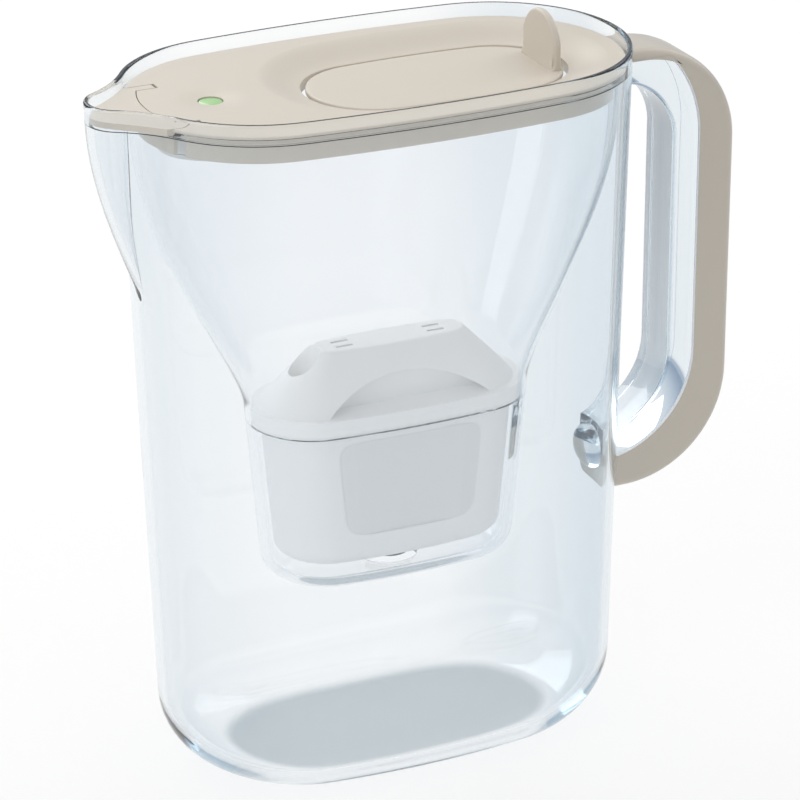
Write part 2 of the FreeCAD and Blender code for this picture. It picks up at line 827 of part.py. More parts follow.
def make_refill_flap():
    body = new_body("refill_flap")
    pad(body, flap_oval(body, "flap_under", "0", "0"), "flap_thick")
    fillet(body, level_at("flap_top"), "flap_edge")
    pin = circle(new_sketch(body, "XZ_Plane"), "hinge_x", "hinge_z", "flap_pin_radius")
    pad(body, pin, "flap_pin_span", symmetric=True)
    half = "fin_width / 2"
    shoulder, radius = arch_shoulder("flap_top + fin_height", "fin_width")
    fin = outline(
        new_sketch(body, "YZ_Plane", "flap_end - fin_inset - fin_thick / 2"),
        ("-" + half, "hinge_z"),
        (half, "hinge_z"),
        (half, shoulder, radius, -1),
        ("-" + half, shoulder),
    )
    pad(body, fin, "fin_thick")
    return body


def make_spout_flap():
    body = new_body("spout_flap")
    pad(body, lid_edge_oval(body, "lid_under"), "lid_thick")
    tip_radius = "nose_radius - rim_wall - rim_gap"
    pad(body, nose_wedge(body, "lid_under", "nose_centre", tip_radius), "lid_thick")
    half = "(spout_flap_width / 2)"
    side = "rim_width"
    back = "rim_length"
    front = "-rim_length"
    corner = f"seam_x + seam_radius - sqrt(seam_radius ^ 2 - {half} ^ 2)"
    rest_of_lid = outline(
        new_sketch(body, "XY_Plane", "lid_top"),
        (corner, half, "seam_radius", -1),
        (corner, "-" + half),
        (front, "-" + half),
        (front, "-" + side),
        (back, "-" + side),
        (back, side),
        (front, side),
        (front, half),
    )
    pocket(body, rest_of_lid, "lid_thick")
    ear_inner = f"({half} - ear_width)"
    for start in (ear_inner, "-" + half):
        ear = circle(new_sketch(body, "XZ_Plane", start), "ear_x", "ear_z", "lid_thick / 2")
        pad(body, ear, "ear_width")
        web = rectangle(new_sketch(body, "XZ_Plane", start), "seam_x", "ear_x", "lid_under", "lid_top")
        pad(body, web, "ear_width")
    for start in (ear_inner, f"-{half} - ear_pin_length"):
        pin = circle(new_sketch(body, "XZ_Plane", start), "ear_x", "ear_z", "ear_pin_radius")
        pad(body, pin, "ear_width + ear_pin_length")
    return body


# Reminder light. Its pieces are drawn about the module's axis, down from the lid's underside.

def module_body(label):
    return new_body(label, "module_x", "lid_under")


def turned(label, *corners):
    body = module_body(label)
    revolve(body, outline(new_sketch(body, "XZ_Plane"), *corners))
    return body


def make_reset_button():
    stem_end = "deck_low + button_travel / 2 - button_rest"
    collar_low = "-button_rest - button_collar_thick"
    head = "lid_thick - dimple_depth"
    return turned(
        "reset_button",
        ("0", stem_end),
        ("stem_radius", stem_end),
        ("stem_radius", collar_low),
        ("button_collar", collar_low),
        ("button_collar", "-button_rest"),
        ("button_radius", "-button_rest"),
        ("button_radius", head),
        ("0", head),
    )


def make_module_housing():
    shelf = "module_bore - module_wall"
    return turned(
        "module_housing",
        ("stem_hole", "-deck_drop"),
        ("module_bore", "-deck_drop"),
        ("module_bore", "0"),
        ("module_radius", "0"),
        ("module_radius", "cover_top"),
        ("module_bore", "cover_top"),
        ("module_bore", "-shelf_drop"),
        (shelf, "-shelf_drop"),
        (shelf, "deck_low"),
        ("stem_hole", "deck_low"),
    )


def make_module_cover():
    spigot = "module_bore - module_fit"
    groove = f"{spigot} - 2 * ring_radius"
    ring_z = "cover_top + spigot_rise / 2"
    inner = f"{groove} - module_wall / 2"
    return turned(
        "module_cover",
        ("0", "-module_depth"),
        ("module_radius", "-module_depth"),
        ("module_radius", "cover_top - module_fit"),
        (spigot, "cover_top - module_fit"),
        (spigot, f"{ring_z} - ring_radius - module_fit"),
        (groove, f"{ring_z} - ring_radius - module_fit"),
        (groove, f"{ring_z} + ring_radius + module_fit"),
        (spigot, f"{ring_z} + ring_radius + module_fit"),
        (spigot, "cover_top + spigot_rise"),
        (inner, "cover_top + spigot_rise"),
        (inner, "cover_top"),
        ("0", "cover_top"),
    )


def make_module_seal():
    ring = doc.addObject("Part::Torus", "module_seal")
    ring.Label = "module_seal"
    bind(
        ring,
        Radius1="module_bore - module_fit / 2 - ring_radius",
        Radius2="ring_radius",
        Placement__Base__x="module_x",
        Placement__Base__z="lid_under + cover_top + spigot_rise / 2",
    )
    return ring


def board_box(body, length, width, height, x="0"):
    sketch = new_sketch(body, "XY_Plane", "-shelf_drop")
    rectangle(sketch, f"{x} - {length} / 2", f"{x} + {length} / 2", f"-{width} / 2", f"{width} / 2")
    pad(body, sketch, height)


def make_reset_switch():
    body = module_body("reset_switch")
    board_box(body, "switch_side", "switch_side", "switch_height")
    plunger = circle(new_sketch(body, "XY_Plane", "-shelf_drop"), "0", "0", "plunger_radius")
    pad(body, plunger, "switch_height + plunger_height")
    return body


def make_indicator_led():
    body = module_body("indicator_led")
    board_box(body, "led_length", "led_width", "led_height", "led_place")
    return body


def make_disc(label, radius, low, high):
    return turned(label, ("0", low), (radius, low), (radius, high), ("0", high))


def make_cell_clip():
    """A bent steel strap that holds the coin cell up against the board."""
    body = module_body("cell_clip")
    inside = "(cell_radius + contact_thick)"
    outside = "(cell_radius + 2 * contact_thick)"
    strap = outline(
        new_sketch(body, "XZ_Plane"),
        ("-" + outside, "cell_low - contact_thick"),
        (outside, "cell_low - contact_thick"),
        (outside, "board_low"),
        (inside, "board_low"),
        (inside, "cell_low"),
        ("-" + inside, "cell_low"),
        ("-" + inside, "board_low"),
        ("-" + outside, "board_low"),
    )
    pad(body, strap, "clip_width", symmetric=True)
    return body


# Cartridge. Its pieces are drawn from the underside of its collar.

def cartridge_body(label):
    return new_body(label, z="collar_z")


def body_length(z, inset):
    return f"(body_half_length - ({inset}) + cartridge_taper * ({z}) / cartridge_depth)"


def body_width(inset):
    return f"(body_half_width - ({inset}))"


def body_oval(body, z, inset, level="0"):
    return oval(body, z, body_length(level, inset), body_width(inset), "cartridge_bow")


def tapered(body, low_z, high_z, inset, cut=False):
    """The tapered side of the cartridge's cup between two heights."""
    loft(body, [body_oval(body, z, inset, z) for z in (low_z, high_z)], cut, ruled=True)


def tapered_cup(body, low_z, high_z, inset, cut=False):
    """The tapered form with a rounded lower edge."""
    turn = f"(cartridge_round - ({inset}) / 2)"
    rounded_foot(
        body, low_z, turn, turn, turn,
        lambda z: body_length(z, inset), lambda z: body_width(inset), "cartridge_bow", cut=cut,
    )
    tapered(body, f"({low_z} + {turn})", high_z, inset, cut)


def collar_oval(body, z, inset):
    return oval(
        body, z, f"(cartridge_length / 2 - {inset})", f"(cartridge_width / 2 - {inset})", "cartridge_bow"
    )


def make_cartridge_cup():
    body = cartridge_body("cartridge_cup")
    tapered_cup(body, "-cartridge_depth", "0", "0")
    pad(body, collar_oval(body, "0", "0"), "collar_thick")
    tapered_cup(body, "body_inner_z", "collar_thick", "cartridge_wall", cut=True)
    outlet = circle(new_sketch(body, "XY_Plane", "body_inner_z"), "0", "0", "nozzle_bore + nozzle_wall")
    pocket(body, outlet, "cartridge_wall")
    top, low = "-window_drop", "-window_drop - window_height"
    half, slant = "window_length / 2", "(window_length / 2 - window_corner)"
    face = "(body_half_width - window_depth)"
    for out, reverse in ((f"-{face}", False), (face, True)):
        window = outline(
            new_sketch(body, "XZ_Plane", out),
            ("-" + slant, low),
            (slant, low, "window_corner * 1.5", -1),
            (f"{slant} + window_corner / 2", f"{low} + window_corner"),
            (half, top),
            ("-" + half, top),
            (f"-{slant} - window_corner / 2", f"{low} + window_corner", "window_corner * 1.5", -1),
        )
        pocket(body, window, "window_depth * 2", reverse=reverse)
    return body


def make_cartridge_cap():
    """The domed cap: finger recesses on both sides, a thumb scoop at one end and water slots."""
    body = cartridge_body("cartridge_cap")
    pad(body, collar_oval(body, "collar_thick", "0"), "collar_thick")
    foot = collar_oval(body, "dome_z", "dome_inset")
    top = oval(body, "dome_top", "dome_top_length / 2", "dome_top_width / 2", "cartridge_bow")
    loft(body, [foot, top], ruled=True)
    fillet(body, level_at("dome_top"), "dome_round")
    hollow_low = oval(body, "collar_thick", "dome_top_length / 2", "dome_top_width / 2 - cartridge_wall / 3", "cartridge_bow")
    hollow_top = oval(
        body, "dome_top - cartridge_wall", "dome_top_length / 2 - dome_round * 2",
        "dome_top_width / 2 - dome_round", "cartridge_bow",
    )
    loft(body, [hollow_low, hollow_top], cut=True, ruled=True)
    half = "grip_recess_length / 2"
    curve = "(grip_recess_length ^ 2 / 8 / grip_recess_height + grip_recess_height / 2)"
    for out, reverse in (("-grip_recess_web / 2", False), ("grip_recess_web / 2", True)):
        recess = outline(
            new_sketch(body, "XZ_Plane", out),
            ("-" + half, "dome_z"),
            (half, "dome_z", curve, -1),
        )
        pocket(body, recess, "cartridge_width / 2", reverse=reverse)
    scoop = circle(
        new_sketch(body, "XY_Plane", "dome_top"), "-dome_top_length / 2 - scoop_radius / 2", "0", "scoop_radius"
    )
    pocket(body, scoop, "dome_height * 0.6")
    for side in ("-", ""):
        for row in ("-", ""):
            middle = f"{side}vent_spacing / 2"
            line = f"{row}vent_width * 1.5"
            slot = rectangle(
                new_sketch(body, "XY_Plane", "dome_top"),
                f"{middle} - vent_length / 2",
                f"{middle} + vent_length / 2",
                f"{line} - vent_width / 2",
                f"{line} + vent_width / 2",
            )
            pocket(body, slot, "2 * cartridge_wall")
    return body


def make_cartridge_seal():
    body = cartridge_body("cartridge_seal")
    pad(body, collar_oval(body, "-seal_thick", "cartridge_gap"), "seal_thick")
    pocket(body, body_oval(body, "0", "-cartridge_gap / 2"), "seal_thick")
    return body


def make_filter_bed():
    body = cartridge_body("filter_bed")
    tapered_cup(body, "bed_low", "bed_top", "cartridge_wall + sieve_gap")
    return body


def make_sieve(label, low_z, inset, level):
    body = cartridge_body(label)
    pad(body, body_oval(body, low_z, f"cartridge_wall + sieve_gap + {inset}", level), "sieve_thick")
    return body


def make_outlet_nozzle():
    body = cartridge_body("outlet_nozzle")
    neck = "nozzle_bore + nozzle_wall - sieve_gap / 6"
    profile = outline(
        new_sketch(body, "XZ_Plane"),
        ("nozzle_bore", "-cartridge_depth - nozzle_drop"),
        ("nozzle_radius - nozzle_wall", "-cartridge_depth - nozzle_drop"),
        ("nozzle_radius", "-cartridge_depth"),
        (neck, "-cartridge_depth"),
        (neck, "body_inner_z"),
        ("nozzle_bore", "body_inner_z"),
    )
    revolve(body, profile)
    return body


# All pieces, then their files

jug_form = jug_solid("jug_form", "0", "0")
pieces = [
    make_jug(jug_form),
    make_handle_grip(jug_form),
    make_funnel(),
    make_lid(),
    make_refill_flap(),
    make_spout_flap(),
    make_reset_button(),
    make_module_housing(),
    make_module_cover(),
    make_module_seal(),
    make_disc("circuit_board", "module_bore - board_gap", "board_low", "-shelf_drop"),
    make_indicator_led(),
    make_reset_switch(),
    make_disc("cell_contact", "contact_radius", "cell_top", "board_low"),
    make_disc("coin_cell", "cell_radius", "cell_low", "cell_top"),
    make_cell_clip(),
    make_cartridge_cup(),
    make_cartridge_cap(),
    make_cartridge_seal(),
    make_sieve("upper_sieve", "bed_top", "0", "bed_top"),
    make_filter_bed(),
    make_sieve("lower_sieve", "body_inner_z", "cartridge_round", "body_inner_z"),
    make_outlet_nozzle(),
]
doc.recompute()

for thing in doc.Objects:
    if "Invalid" in thing.State or "Error" in thing.State:
        raise RuntimeError(f"{thing.Label} did not build: {thing.State}")
for piece in pieces:
    if piece.Shape.isNull() or not piece.Shape.isValid() or not piece.Shape.Solids:
        raise RuntimeError(f"{piece.Label} has no valid solid")

os.makedirs("parts", exist_ok=True)
for piece in pieces:
    piece.Shape.exportStep(f"parts/{piece.Label}.step")
    print(piece.Label, len(piece.Shape.Solids), round(piece.Shape.Volume, 1))
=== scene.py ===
# %% [markdown]
# # A clear water filter jug
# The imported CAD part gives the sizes, the pieces and how they move. This script dresses it. The
# clear walls, the funnel, the handle and the lid are rebuilt as fine smooth meshes, because light
# bends through clear plastic and every flat facet of a coarse mesh would show. The other CAD
# pieces stay as they are and only get better finishes.

# %% The frame
import json
import math

import bmesh
import bpy
import numpy as np
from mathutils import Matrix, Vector


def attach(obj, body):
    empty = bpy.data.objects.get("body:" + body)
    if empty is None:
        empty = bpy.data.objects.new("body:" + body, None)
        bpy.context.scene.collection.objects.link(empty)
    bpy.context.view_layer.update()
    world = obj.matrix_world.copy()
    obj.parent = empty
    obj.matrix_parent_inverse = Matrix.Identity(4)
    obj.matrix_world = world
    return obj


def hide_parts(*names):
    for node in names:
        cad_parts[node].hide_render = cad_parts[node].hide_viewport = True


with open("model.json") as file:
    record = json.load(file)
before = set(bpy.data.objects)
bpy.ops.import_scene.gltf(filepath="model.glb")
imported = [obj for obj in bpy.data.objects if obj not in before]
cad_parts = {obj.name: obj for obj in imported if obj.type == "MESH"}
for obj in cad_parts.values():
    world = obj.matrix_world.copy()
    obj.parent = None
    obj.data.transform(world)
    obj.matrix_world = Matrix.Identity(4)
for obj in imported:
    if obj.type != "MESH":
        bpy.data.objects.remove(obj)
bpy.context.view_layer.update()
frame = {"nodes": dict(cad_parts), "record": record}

MM = 0.001

# %% [markdown]
# ## Meshes from rings
# Most pieces of a jug are stacks of level outlines. They could be sculpted, or made from curves
# with modifiers, but all sizes are known here, so the points are worked out: one ring per height,
# joined to the next by quads. That gives an even mesh that shades smoothly. The same helper closes
# the ends with a flat face, or joins the last ring to the first for a shell with an open middle.

# %% Helpers that turn points into pieces
def tidy_normals(mesh, sharp_degrees):
    """Turn all faces outwards, then shade smooth with crisp edges where the bend is sharp."""
    work = bmesh.new()
    work.from_mesh(mesh)
    bmesh.ops.recalc_face_normals(work, faces=work.faces)
    work.to_mesh(mesh)
    work.free()
    mesh.polygons.foreach_set("use_smooth", [True] * len(mesh.polygons))
    mesh.set_sharp_from_angle(angle=math.radians(sharp_degrees))
    mesh.update()


def new_piece(name, points_mm, faces, body, finish, sharp_degrees=35):
    """A mesh piece from points in millimetres. It rides on a CAD body if one is named."""
    mesh = bpy.data.meshes.new(name)
    mesh.from_pydata((np.asarray(points_mm) * MM).tolist(), [], faces)
    mesh.validate()
    piece = bpy.data.objects.new(name, mesh)
    bpy.context.scene.collection.objects.link(piece)
    tidy_normals(mesh, sharp_degrees)
    mesh.materials.append(finish)
    if body is not None:
        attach(piece, body)
    return piece


def ring_stack(rings, capped=True, looped=False):
    """Points and faces of rings of equal count, one above the other."""
    count, layers = len(rings[0]), len(rings)
    faces = []
    for layer in range(layers if looped else layers - 1):
        low, high = layer * count, (layer + 1) % layers * count
        for k in range(count):
            after = (k + 1) % count
            faces.append((low + k, low + after, high + after, high + k))
    if capped:
        faces.append(tuple(range(count - 1, -1, -1)))
        faces.append(tuple(range((layers - 1) * count, layers * count)))
    return np.concatenate(rings), faces


def at_height(flat, z):
    """Lift a flat ring to a height, or to one height per point."""
    return np.column_stack([flat, np.broadcast_to(z, len(flat))])


print("mesh helpers ready")

# %% [markdown]
# ## An oval with bowed sides
# Seen from above, the jug, the funnel, the lid and the flap are all ovals of four arcs: two round
# ends and two slightly bowed sides. Each point of a ring is found where a ray from the middle meets
# one of the arcs. The rays stay the same at all heights, so the rings line up. They are closer
# together at the spout, which has the tightest curves.

# %% Oval outline
RING, SPOUT_CROWDING = 384, 0.45
even_turns = np.arange(RING) / RING * 2 * math.pi
RAYS = even_turns + SPOUT_CROWDING * np.sin(even_turns)


def oval_ring(half_length, half_width, bow, middle=0.0):
    """An oval of two round ends and two bowed sides, as the points where the rays meet it."""
    end = half_width - bow
    reach = half_length - end
    side = (reach ** 2 / bow + end + half_width) / 2
    drop = side - half_width
    bend = math.atan2(drop, reach)
    joint = math.atan2(end * math.sin(bend), reach + end * math.cos(bend))
    across, along = np.abs(np.sin(RAYS)), np.abs(np.cos(RAYS))
    on_end = np.arctan2(across, along) < joint
    to_end = reach * along + np.sqrt(np.maximum(end ** 2 - (reach * across) ** 2, 0))
    to_side = -drop * across + np.sqrt(side ** 2 - (drop * along) ** 2)
    far = np.where(on_end, to_end, to_side)
    return np.column_stack([middle + far * np.cos(RAYS), far * np.sin(RAYS)])


print("rays per ring:", RING)

# %% [markdown]
# ## The spout
# A pointed spout grows out of the jug's front. It could be pulled out of the wall with a lattice,
# but then its curves would be hard to repeat. Here it is a small round tip, and two hollow arcs
# blend it into the oval.

# %% Spout outline
NOSE_RADIUS, NOSE_BLEND, NOSE_LEAST = 13.0, 54.0, 0.02


def spout_ring(half_length, half_width, bow, middle, reach, inset):
    """The oval with the spout's round tip, blended in by two hollow arcs."""
    ring = oval_ring(half_length - inset, half_width - inset, bow, middle)
    if reach < NOSE_LEAST:
        return ring
    end = half_width - bow - inset
    end_at = half_length - (half_width - bow)
    tip, blend = NOSE_RADIUS - inset, NOSE_BLEND + inset
    tip_at = half_length + reach - NOSE_RADIUS
    apart = tip_at - end_at
    along = (apart ** 2 + (end + blend) ** 2 - (tip + blend) ** 2) / (2 * apart)
    aside = math.sqrt(max((end + blend) ** 2 - along ** 2, 0))
    centre = np.array([end_at + along, aside])
    leave_end = np.array([end_at, 0]) + (centre - [end_at, 0]) * end / (end + blend)
    meet_tip = np.array([tip_at, 0]) + (centre - [tip_at, 0]) * tip / (tip + blend)
    forward, aside_ray = -np.cos(RAYS), np.abs(np.sin(RAYS))
    angle = np.arctan2(aside_ray, forward)
    to_tip = tip_at * forward + np.sqrt(np.maximum(tip ** 2 - (tip_at * aside_ray) ** 2, 0))
    beside = forward * centre[0] + aside_ray * centre[1]
    to_blend = beside - np.sqrt(np.maximum(beside ** 2 - centre @ centre + blend ** 2, 0))
    far = np.hypot(ring[:, 0] - middle, ring[:, 1])
    far = np.where(angle < math.atan2(leave_end[1], leave_end[0]), to_blend, far)
    far = np.where(angle < math.atan2(meet_tip[1], meet_tip[0]), to_tip, far)
    return np.column_stack([middle + far * np.cos(RAYS), far * np.sin(RAYS)])


print("spout radius, mm:", NOSE_RADIUS)

# %% [markdown]
# ## The jug's outline
# The jug widens a little towards its rim, and its bottom edge draws in. The spout starts well up
# the wall and eases off under the rim. One function of the height gives all of that, for the outer
# and the inner skin alike.

# %% Jug outline at a height
HEIGHT, JUG_BOW, RIM_MIDDLE = 277.0, 2.2, -3.0
FOOT_LENGTH, FOOT_WIDTH, LENGTH_GAIN, WIDTH_GAIN = 92.0, 49.7, 8.0, 4.3
END_ROUND, SIDE_ROUND = 28.0, 14.5
NOSE_REACH, NOSE_START, NOSE_RISE, NOSE_SOFT = 15.45, 201.0, 66.0, 4.0


def nose_reach(z):
    """How far the spout stands out at a height: a straight start that eases off under the rim."""
    rise = np.clip((z + np.linspace(-NOSE_SOFT, NOSE_SOFT, 17) - NOSE_START) / NOSE_RISE, 0, 1)
    return NOSE_REACH * float(np.mean(rise * (1.5 - 0.5 * rise ** 2)))


def jug_ring(z, inset=0.0, drawn=0.0, outline_z=None):
    """The jug's outline at a height, moved inwards, and drawn in where the bottom rounds off."""
    level = z if outline_z is None else outline_z
    half_length = FOOT_LENGTH + LENGTH_GAIN * level / HEIGHT - END_ROUND * drawn
    half_width = FOOT_WIDTH + WIDTH_GAIN * level / HEIGHT - SIDE_ROUND * drawn
    middle = RIM_MIDDLE * level / HEIGHT
    reach = nose_reach(level) if drawn == 0 else 0.0
    return at_height(spout_ring(half_length, half_width, JUG_BOW, middle, reach, inset), z)


print("rim length with the spout, mm:", round(float(np.ptp(jug_ring(HEIGHT)[:, 0])), 1))

# %% [markdown]
# ## Shader arithmetic
# Materials are node trees. They could be linked up node by node, but that takes a page for one
# mask. A small class wraps one output socket instead, so that a mask or a mottled colour can be
# written as a Python expression.

# %% A socket that can be calculated with
class Wire:
    """One output in a node tree. Arithmetic on it adds Math nodes."""

    def __init__(self, tree, socket=None):
        self.tree = tree
        self.socket = socket

    def node(self, kind, settings=None, inputs=None, output=0):
        """Add any node: its settings first, then the values or links of its sockets."""
        made = self.tree.nodes.new(kind)
        for name, setting in (settings or {}).items():
            if name == "stops":
                fill_ramp(made.color_ramp, setting)
            else:
                setattr(made, name, setting)
        for name, given in (inputs or {}).items():
            if isinstance(given, Wire):
                self.tree.links.new(given.socket, made.inputs[name])
            else:
                made.inputs[name].default_value = given
        return Wire(self.tree, made.outputs[output]) if len(made.outputs) else None

    def math(self, operation, first, second):
        return self.node("ShaderNodeMath", {"operation": operation}, {0: first, 1: second})

    def __add__(self, other):
        return self.math("ADD", self, other)

    def __radd__(self, other):
        return self.math("ADD", other, self)

    def __sub__(self, other):
        return self.math("SUBTRACT", self, other)

    def __rsub__(self, other):
        return self.math("SUBTRACT", other, self)

    def __mul__(self, other):
        return self.math("MULTIPLY", self, other)

    def __rmul__(self, other):
        return self.math("MULTIPLY", other, self)

    def __gt__(self, other):
        return self.math("GREATER_THAN", self, other)


def fill_ramp(ramp, stops):
    while len(ramp.elements) < len(stops):
        ramp.elements.new(0.5)
    for element, (place, colour) in zip(ramp.elements, stops):
        element.position = place
        element.color = colour


print("sockets can be calculated with")

# %% [markdown]
# ## Small shader helpers
# Every finish needs the same few things: an empty tree, a place on the piece, clouds of noise, a
# blend of two colours and a relief. All of them use the piece's own coordinates, so a pattern moves
# with its piece.

# %% Shader helpers
def new_finish(name):
    """An empty material and the start of its node tree."""
    finish = bpy.data.materials.new(name)
    finish.use_nodes = True
    finish.node_tree.nodes.clear()
    return finish, Wire(finish.node_tree)


def put_out(start, surface, volume=None):
    ends = {"Surface": surface}
    if volume is not None:
        ends["Volume"] = volume
    start.node("ShaderNodeOutputMaterial", None, ends)


def plain_surface(finish, start, ends):
    """Give a finish one Principled surface."""
    put_out(start, start.node("ShaderNodeBsdfPrincipled", None, ends))
    return finish


def object_place(start):
    return start.node("ShaderNodeTexCoord", output="Object")


def mottle(start, scale, detail=3.0):
    """Cloudy values from 0 to 1 that stay fixed to the piece."""
    return start.node(
        "ShaderNodeTexNoise", {"noise_dimensions": "3D"},
        {"Vector": object_place(start), "Scale": scale, "Detail": detail},
    )


def blend_colours(start, share, first, second):
    return start.node(
        "ShaderNodeMix", {"data_type": "RGBA"}, {0: share, 6: first, 7: second}, output=2
    )


def bump_from(start, height, strength, distance):
    """Relief from a height map."""
    ends = {"Height": height, "Strength": strength, "Distance": distance}
    return start.node("ShaderNodeBump", None, ends)


print("shader helpers ready")

# %% [markdown]
# ## Masks
# Shade is painted into the clear plastic's colour in some places, and light takes another way
# through it than sight does. An image could hold the first, but a mask from coordinates stays sharp
# at any size. The second needs a mask that tells one kind of ray from another.

# %% Masks by place and by kind of ray
def coordinate(start, axis):
    """One coordinate of the place on the piece, in metres."""
    return start.node("ShaderNodeSeparateXYZ", None, {"Vector": object_place(start)}, axis)


def eased_range(start, value, low, high):
    """0 below a range, 1 above it, with a soft change between."""
    ends = {"Value": value, "From Min": low, "From Max": high}
    return start.node("ShaderNodeMapRange", {"interpolation_type": "SMOOTHSTEP"}, ends)


def light_path(start, *names):
    """1 for rays of the named kinds, 0 for the others."""
    kinds = [start.node("ShaderNodeLightPath", output=name) for name in names]
    return start.math("MINIMUM", sum(kinds[1:], kinds[0]), 1.0)


def blend_shaders(start, share, first, second):
    return start.node("ShaderNodeMixShader", None, {0: share, 1: first, 2: second})


print("masks ready")

# %% [markdown]
# ## Clear plastic
# The jug and the funnel are moulded in clear plastic. It shows itself mostly at its edges, where
# light travels far through it and picks up a cool tint, so the colour is put in the volume and the
# skin is left nearly white, apart from shade painted into the jug's skin at its floor and ends. A
# plain glass shader would keep the lamps' light out of the jug and leave the cartridge dark, so
# rays that carry light to other surfaces go straight through.

# %% Clear finishes
def clear_finish(name, tint, density, skin_at):
    """Clear plastic that bends what is seen through it and lets the lamps' light straight in."""
    finish, start = new_finish(name)
    cloud = mottle(start, 9.0)
    bent = start.node("ShaderNodeBsdfPrincipled", None, {
        "Base Color": skin_at(start, cloud),
        "Roughness": 0.012 * cloud,
        "IOR": 1.5,
        "Transmission Weight": 1.0,
        "Normal": bump_from(start, mottle(start, 30.0, 1.0), 0.02, 0.001),
    })
    straight_in = start.node("ShaderNodeBsdfTransparent", None, {"Color": (0.99, 0.995, 1.0, 1)})
    lamp_light = light_path(start, "Is Shadow Ray", "Is Diffuse Ray")
    depth = start.node("ShaderNodeVolumeAbsorption", None, {"Color": tint, "Density": density})
    put_out(start, blend_shaders(start, lamp_light, bent, straight_in), depth)
    return finish


def even_skin(start, cloud):
    return blend_colours(start, cloud, (0.985, 0.99, 0.995, 1), (0.995, 0.997, 1.0, 1))


# The floor tint is a painted shadow of the jug, seen through its base; the end tint is painted
# shade in the round ends.
FLOOR_PAINTED_SHADOW, END_PAINTED_SHADE = (0.54, 0.595, 0.62, 1), (0.835, 0.88, 0.91, 1)
FLOOR_LONG, FLOOR_WIDE, FLOOR_EDGE, FLOOR_RISE = 0.066, 0.035, (0.8, 1.15), (0.0045, 0.0085)
HANDLE_END, HANDLE_ROOT, SPOUT_END = (0.035, 0.075), (0.092, 0.098), (0.055, 0.09)


def jug_skin_with_painted_shade(start, cloud):
    """Nearly white, with a painted grey shadow on the floor and cool painted shade in the two round
    ends.
    """
    along, across, height = (coordinate(start, axis) for axis in "XYZ")
    # Painted shadow: grey on the jug's floor, fading out towards its edge and up the wall.
    lengthwise = along * along * (1 / FLOOR_LONG ** 2)
    from_middle = lengthwise * lengthwise + across * across * (1 / FLOOR_WIDE ** 2)
    above_floor = eased_range(start, height, *FLOOR_RISE)
    outside_painted_shadow = start.math("MAXIMUM", above_floor, eased_range(start, from_middle, *FLOOR_EDGE))
    # Painted shade: the round ends at the handle and at the spout get a darker blue-grey.
    handle_end_shade = eased_range(start, along, *HANDLE_END) - eased_range(start, along, *HANDLE_ROOT)
    spout_end_shade = eased_range(start, -1.0 * along, *SPOUT_END)
    wall = blend_colours(start, handle_end_shade + 0.5 * spout_end_shade, even_skin(start, cloud), END_PAINTED_SHADE)
    return blend_colours(start, outside_painted_shadow, FLOOR_PAINTED_SHADOW, wall)


JUG_CLEAR = clear_finish("clear_jug_plastic", (0.56, 0.68, 0.75, 1), 20.0, jug_skin_with_painted_shade)
FUNNEL_CLEAR = clear_finish("clear_funnel_plastic", (0.58, 0.68, 0.75, 1), 14.0, even_skin)
print("clear finishes:", JUG_CLEAR.name, FUNNEL_CLEAR.name)

# %% [markdown]
# ## Moulded plastics
# The lid, the grip and the cartridge are opaque mouldings with a fine matt grain. One flat colour
# would look painted, so a little unevenness goes into colour, gloss and height. Two pieces have a
# marked area as well: on the grip, light is painted as a pale colour over the face that lies
# against the clear handle, where that face sits in shade, and shade is painted darker into the
# pressed-in window of the cartridge's cup. A mask on the piece's coordinates is enough for both.

# %% Marked areas of painted light and shade
HANDLE_MIDDLE, INNER_FACE_DEPTH = (0.093, 0.0, 0.19), 0.015
WINDOW_MIDDLE, WINDOW_HALF_HEIGHT, WINDOW_EDGE = 0.1163, 0.0195, (0.85, 1.15)
WINDOW_FOOT, WINDOW_SLANT = 0.0164, 0.1


def grip_inner_painted_light(start):
    """1 on faces that look towards the middle of the handle, where pale light is painted, 0
    elsewhere.
    """
    normal = start.node("ShaderNodeTexCoord", output="Normal")
    from_middle = start.node(
        "ShaderNodeVectorMath", {"operation": "SUBTRACT"},
        {0: object_place(start), 1: HANDLE_MIDDLE},
    )
    outwards = start.node(
        "ShaderNodeVectorMath", {"operation": "DOT_PRODUCT"}, {0: from_middle, 1: normal}, "Value"
    )
    return -1.0 * outwards > INNER_FACE_DEPTH


def eighth_power(share):
    squared = share * share
    fourth = squared * squared
    return fourth * fourth


def cup_window_painted_shade(start):
    """1 inside the rounded window of the cartridge's cup, which narrows downwards, 0 elsewhere.
    Shade is painted darker inside it.
    """
    along, height = coordinate(start, "X"), coordinate(start, "Z")
    sideways = start.math("DIVIDE", along, WINDOW_FOOT + WINDOW_SLANT * height)
    upwards = (height - WINDOW_MIDDLE) * (1 / WINDOW_HALF_HEIGHT)
    outline = eighth_power(sideways) + eighth_power(upwards)
    return 1.0 - eased_range(start, outline, *WINDOW_EDGE)


print("marked areas:", grip_inner_painted_light.__name__, cup_window_painted_shade.__name__)

# %% [markdown]
# The colours are written as they should render under the plain studio light. Most of these plastics
# differ only in colour, gloss and grain, so one function makes them all.

# %% Moulded finishes
def moulded_finish(name, colour, shade, roughness=0.42, grain=0.06, painted_light_shade_mask=None, painted_light_shade_colour=None):
    """Opaque plastic with a faint cloud and a fine grain. A marked area gets its own colour,
    painted light on the grip and painted shade on the cup.
    """
    finish, start = new_finish(name)
    cloud, fine = mottle(start, 22.0), mottle(start, 1400.0, 2.0)
    darker = tuple(part * shade for part in colour)
    tone = blend_colours(start, cloud, (*darker, 1), (*colour, 1))
    height, strength, depth = fine, grain, 0.0004
    if painted_light_shade_mask is not None:
        area = painted_light_shade_mask(start)
        tone = blend_colours(start, area, tone, painted_light_shade_colour)
        height, strength, depth = 1.0 - area + 0.08 * fine, 0.5, 0.0006
    return plain_surface(finish, start, {
        "Base Color": tone,
        "Roughness": roughness - 0.04 + 0.08 * fine,
        "Normal": bump_from(start, height, strength, depth),
    })


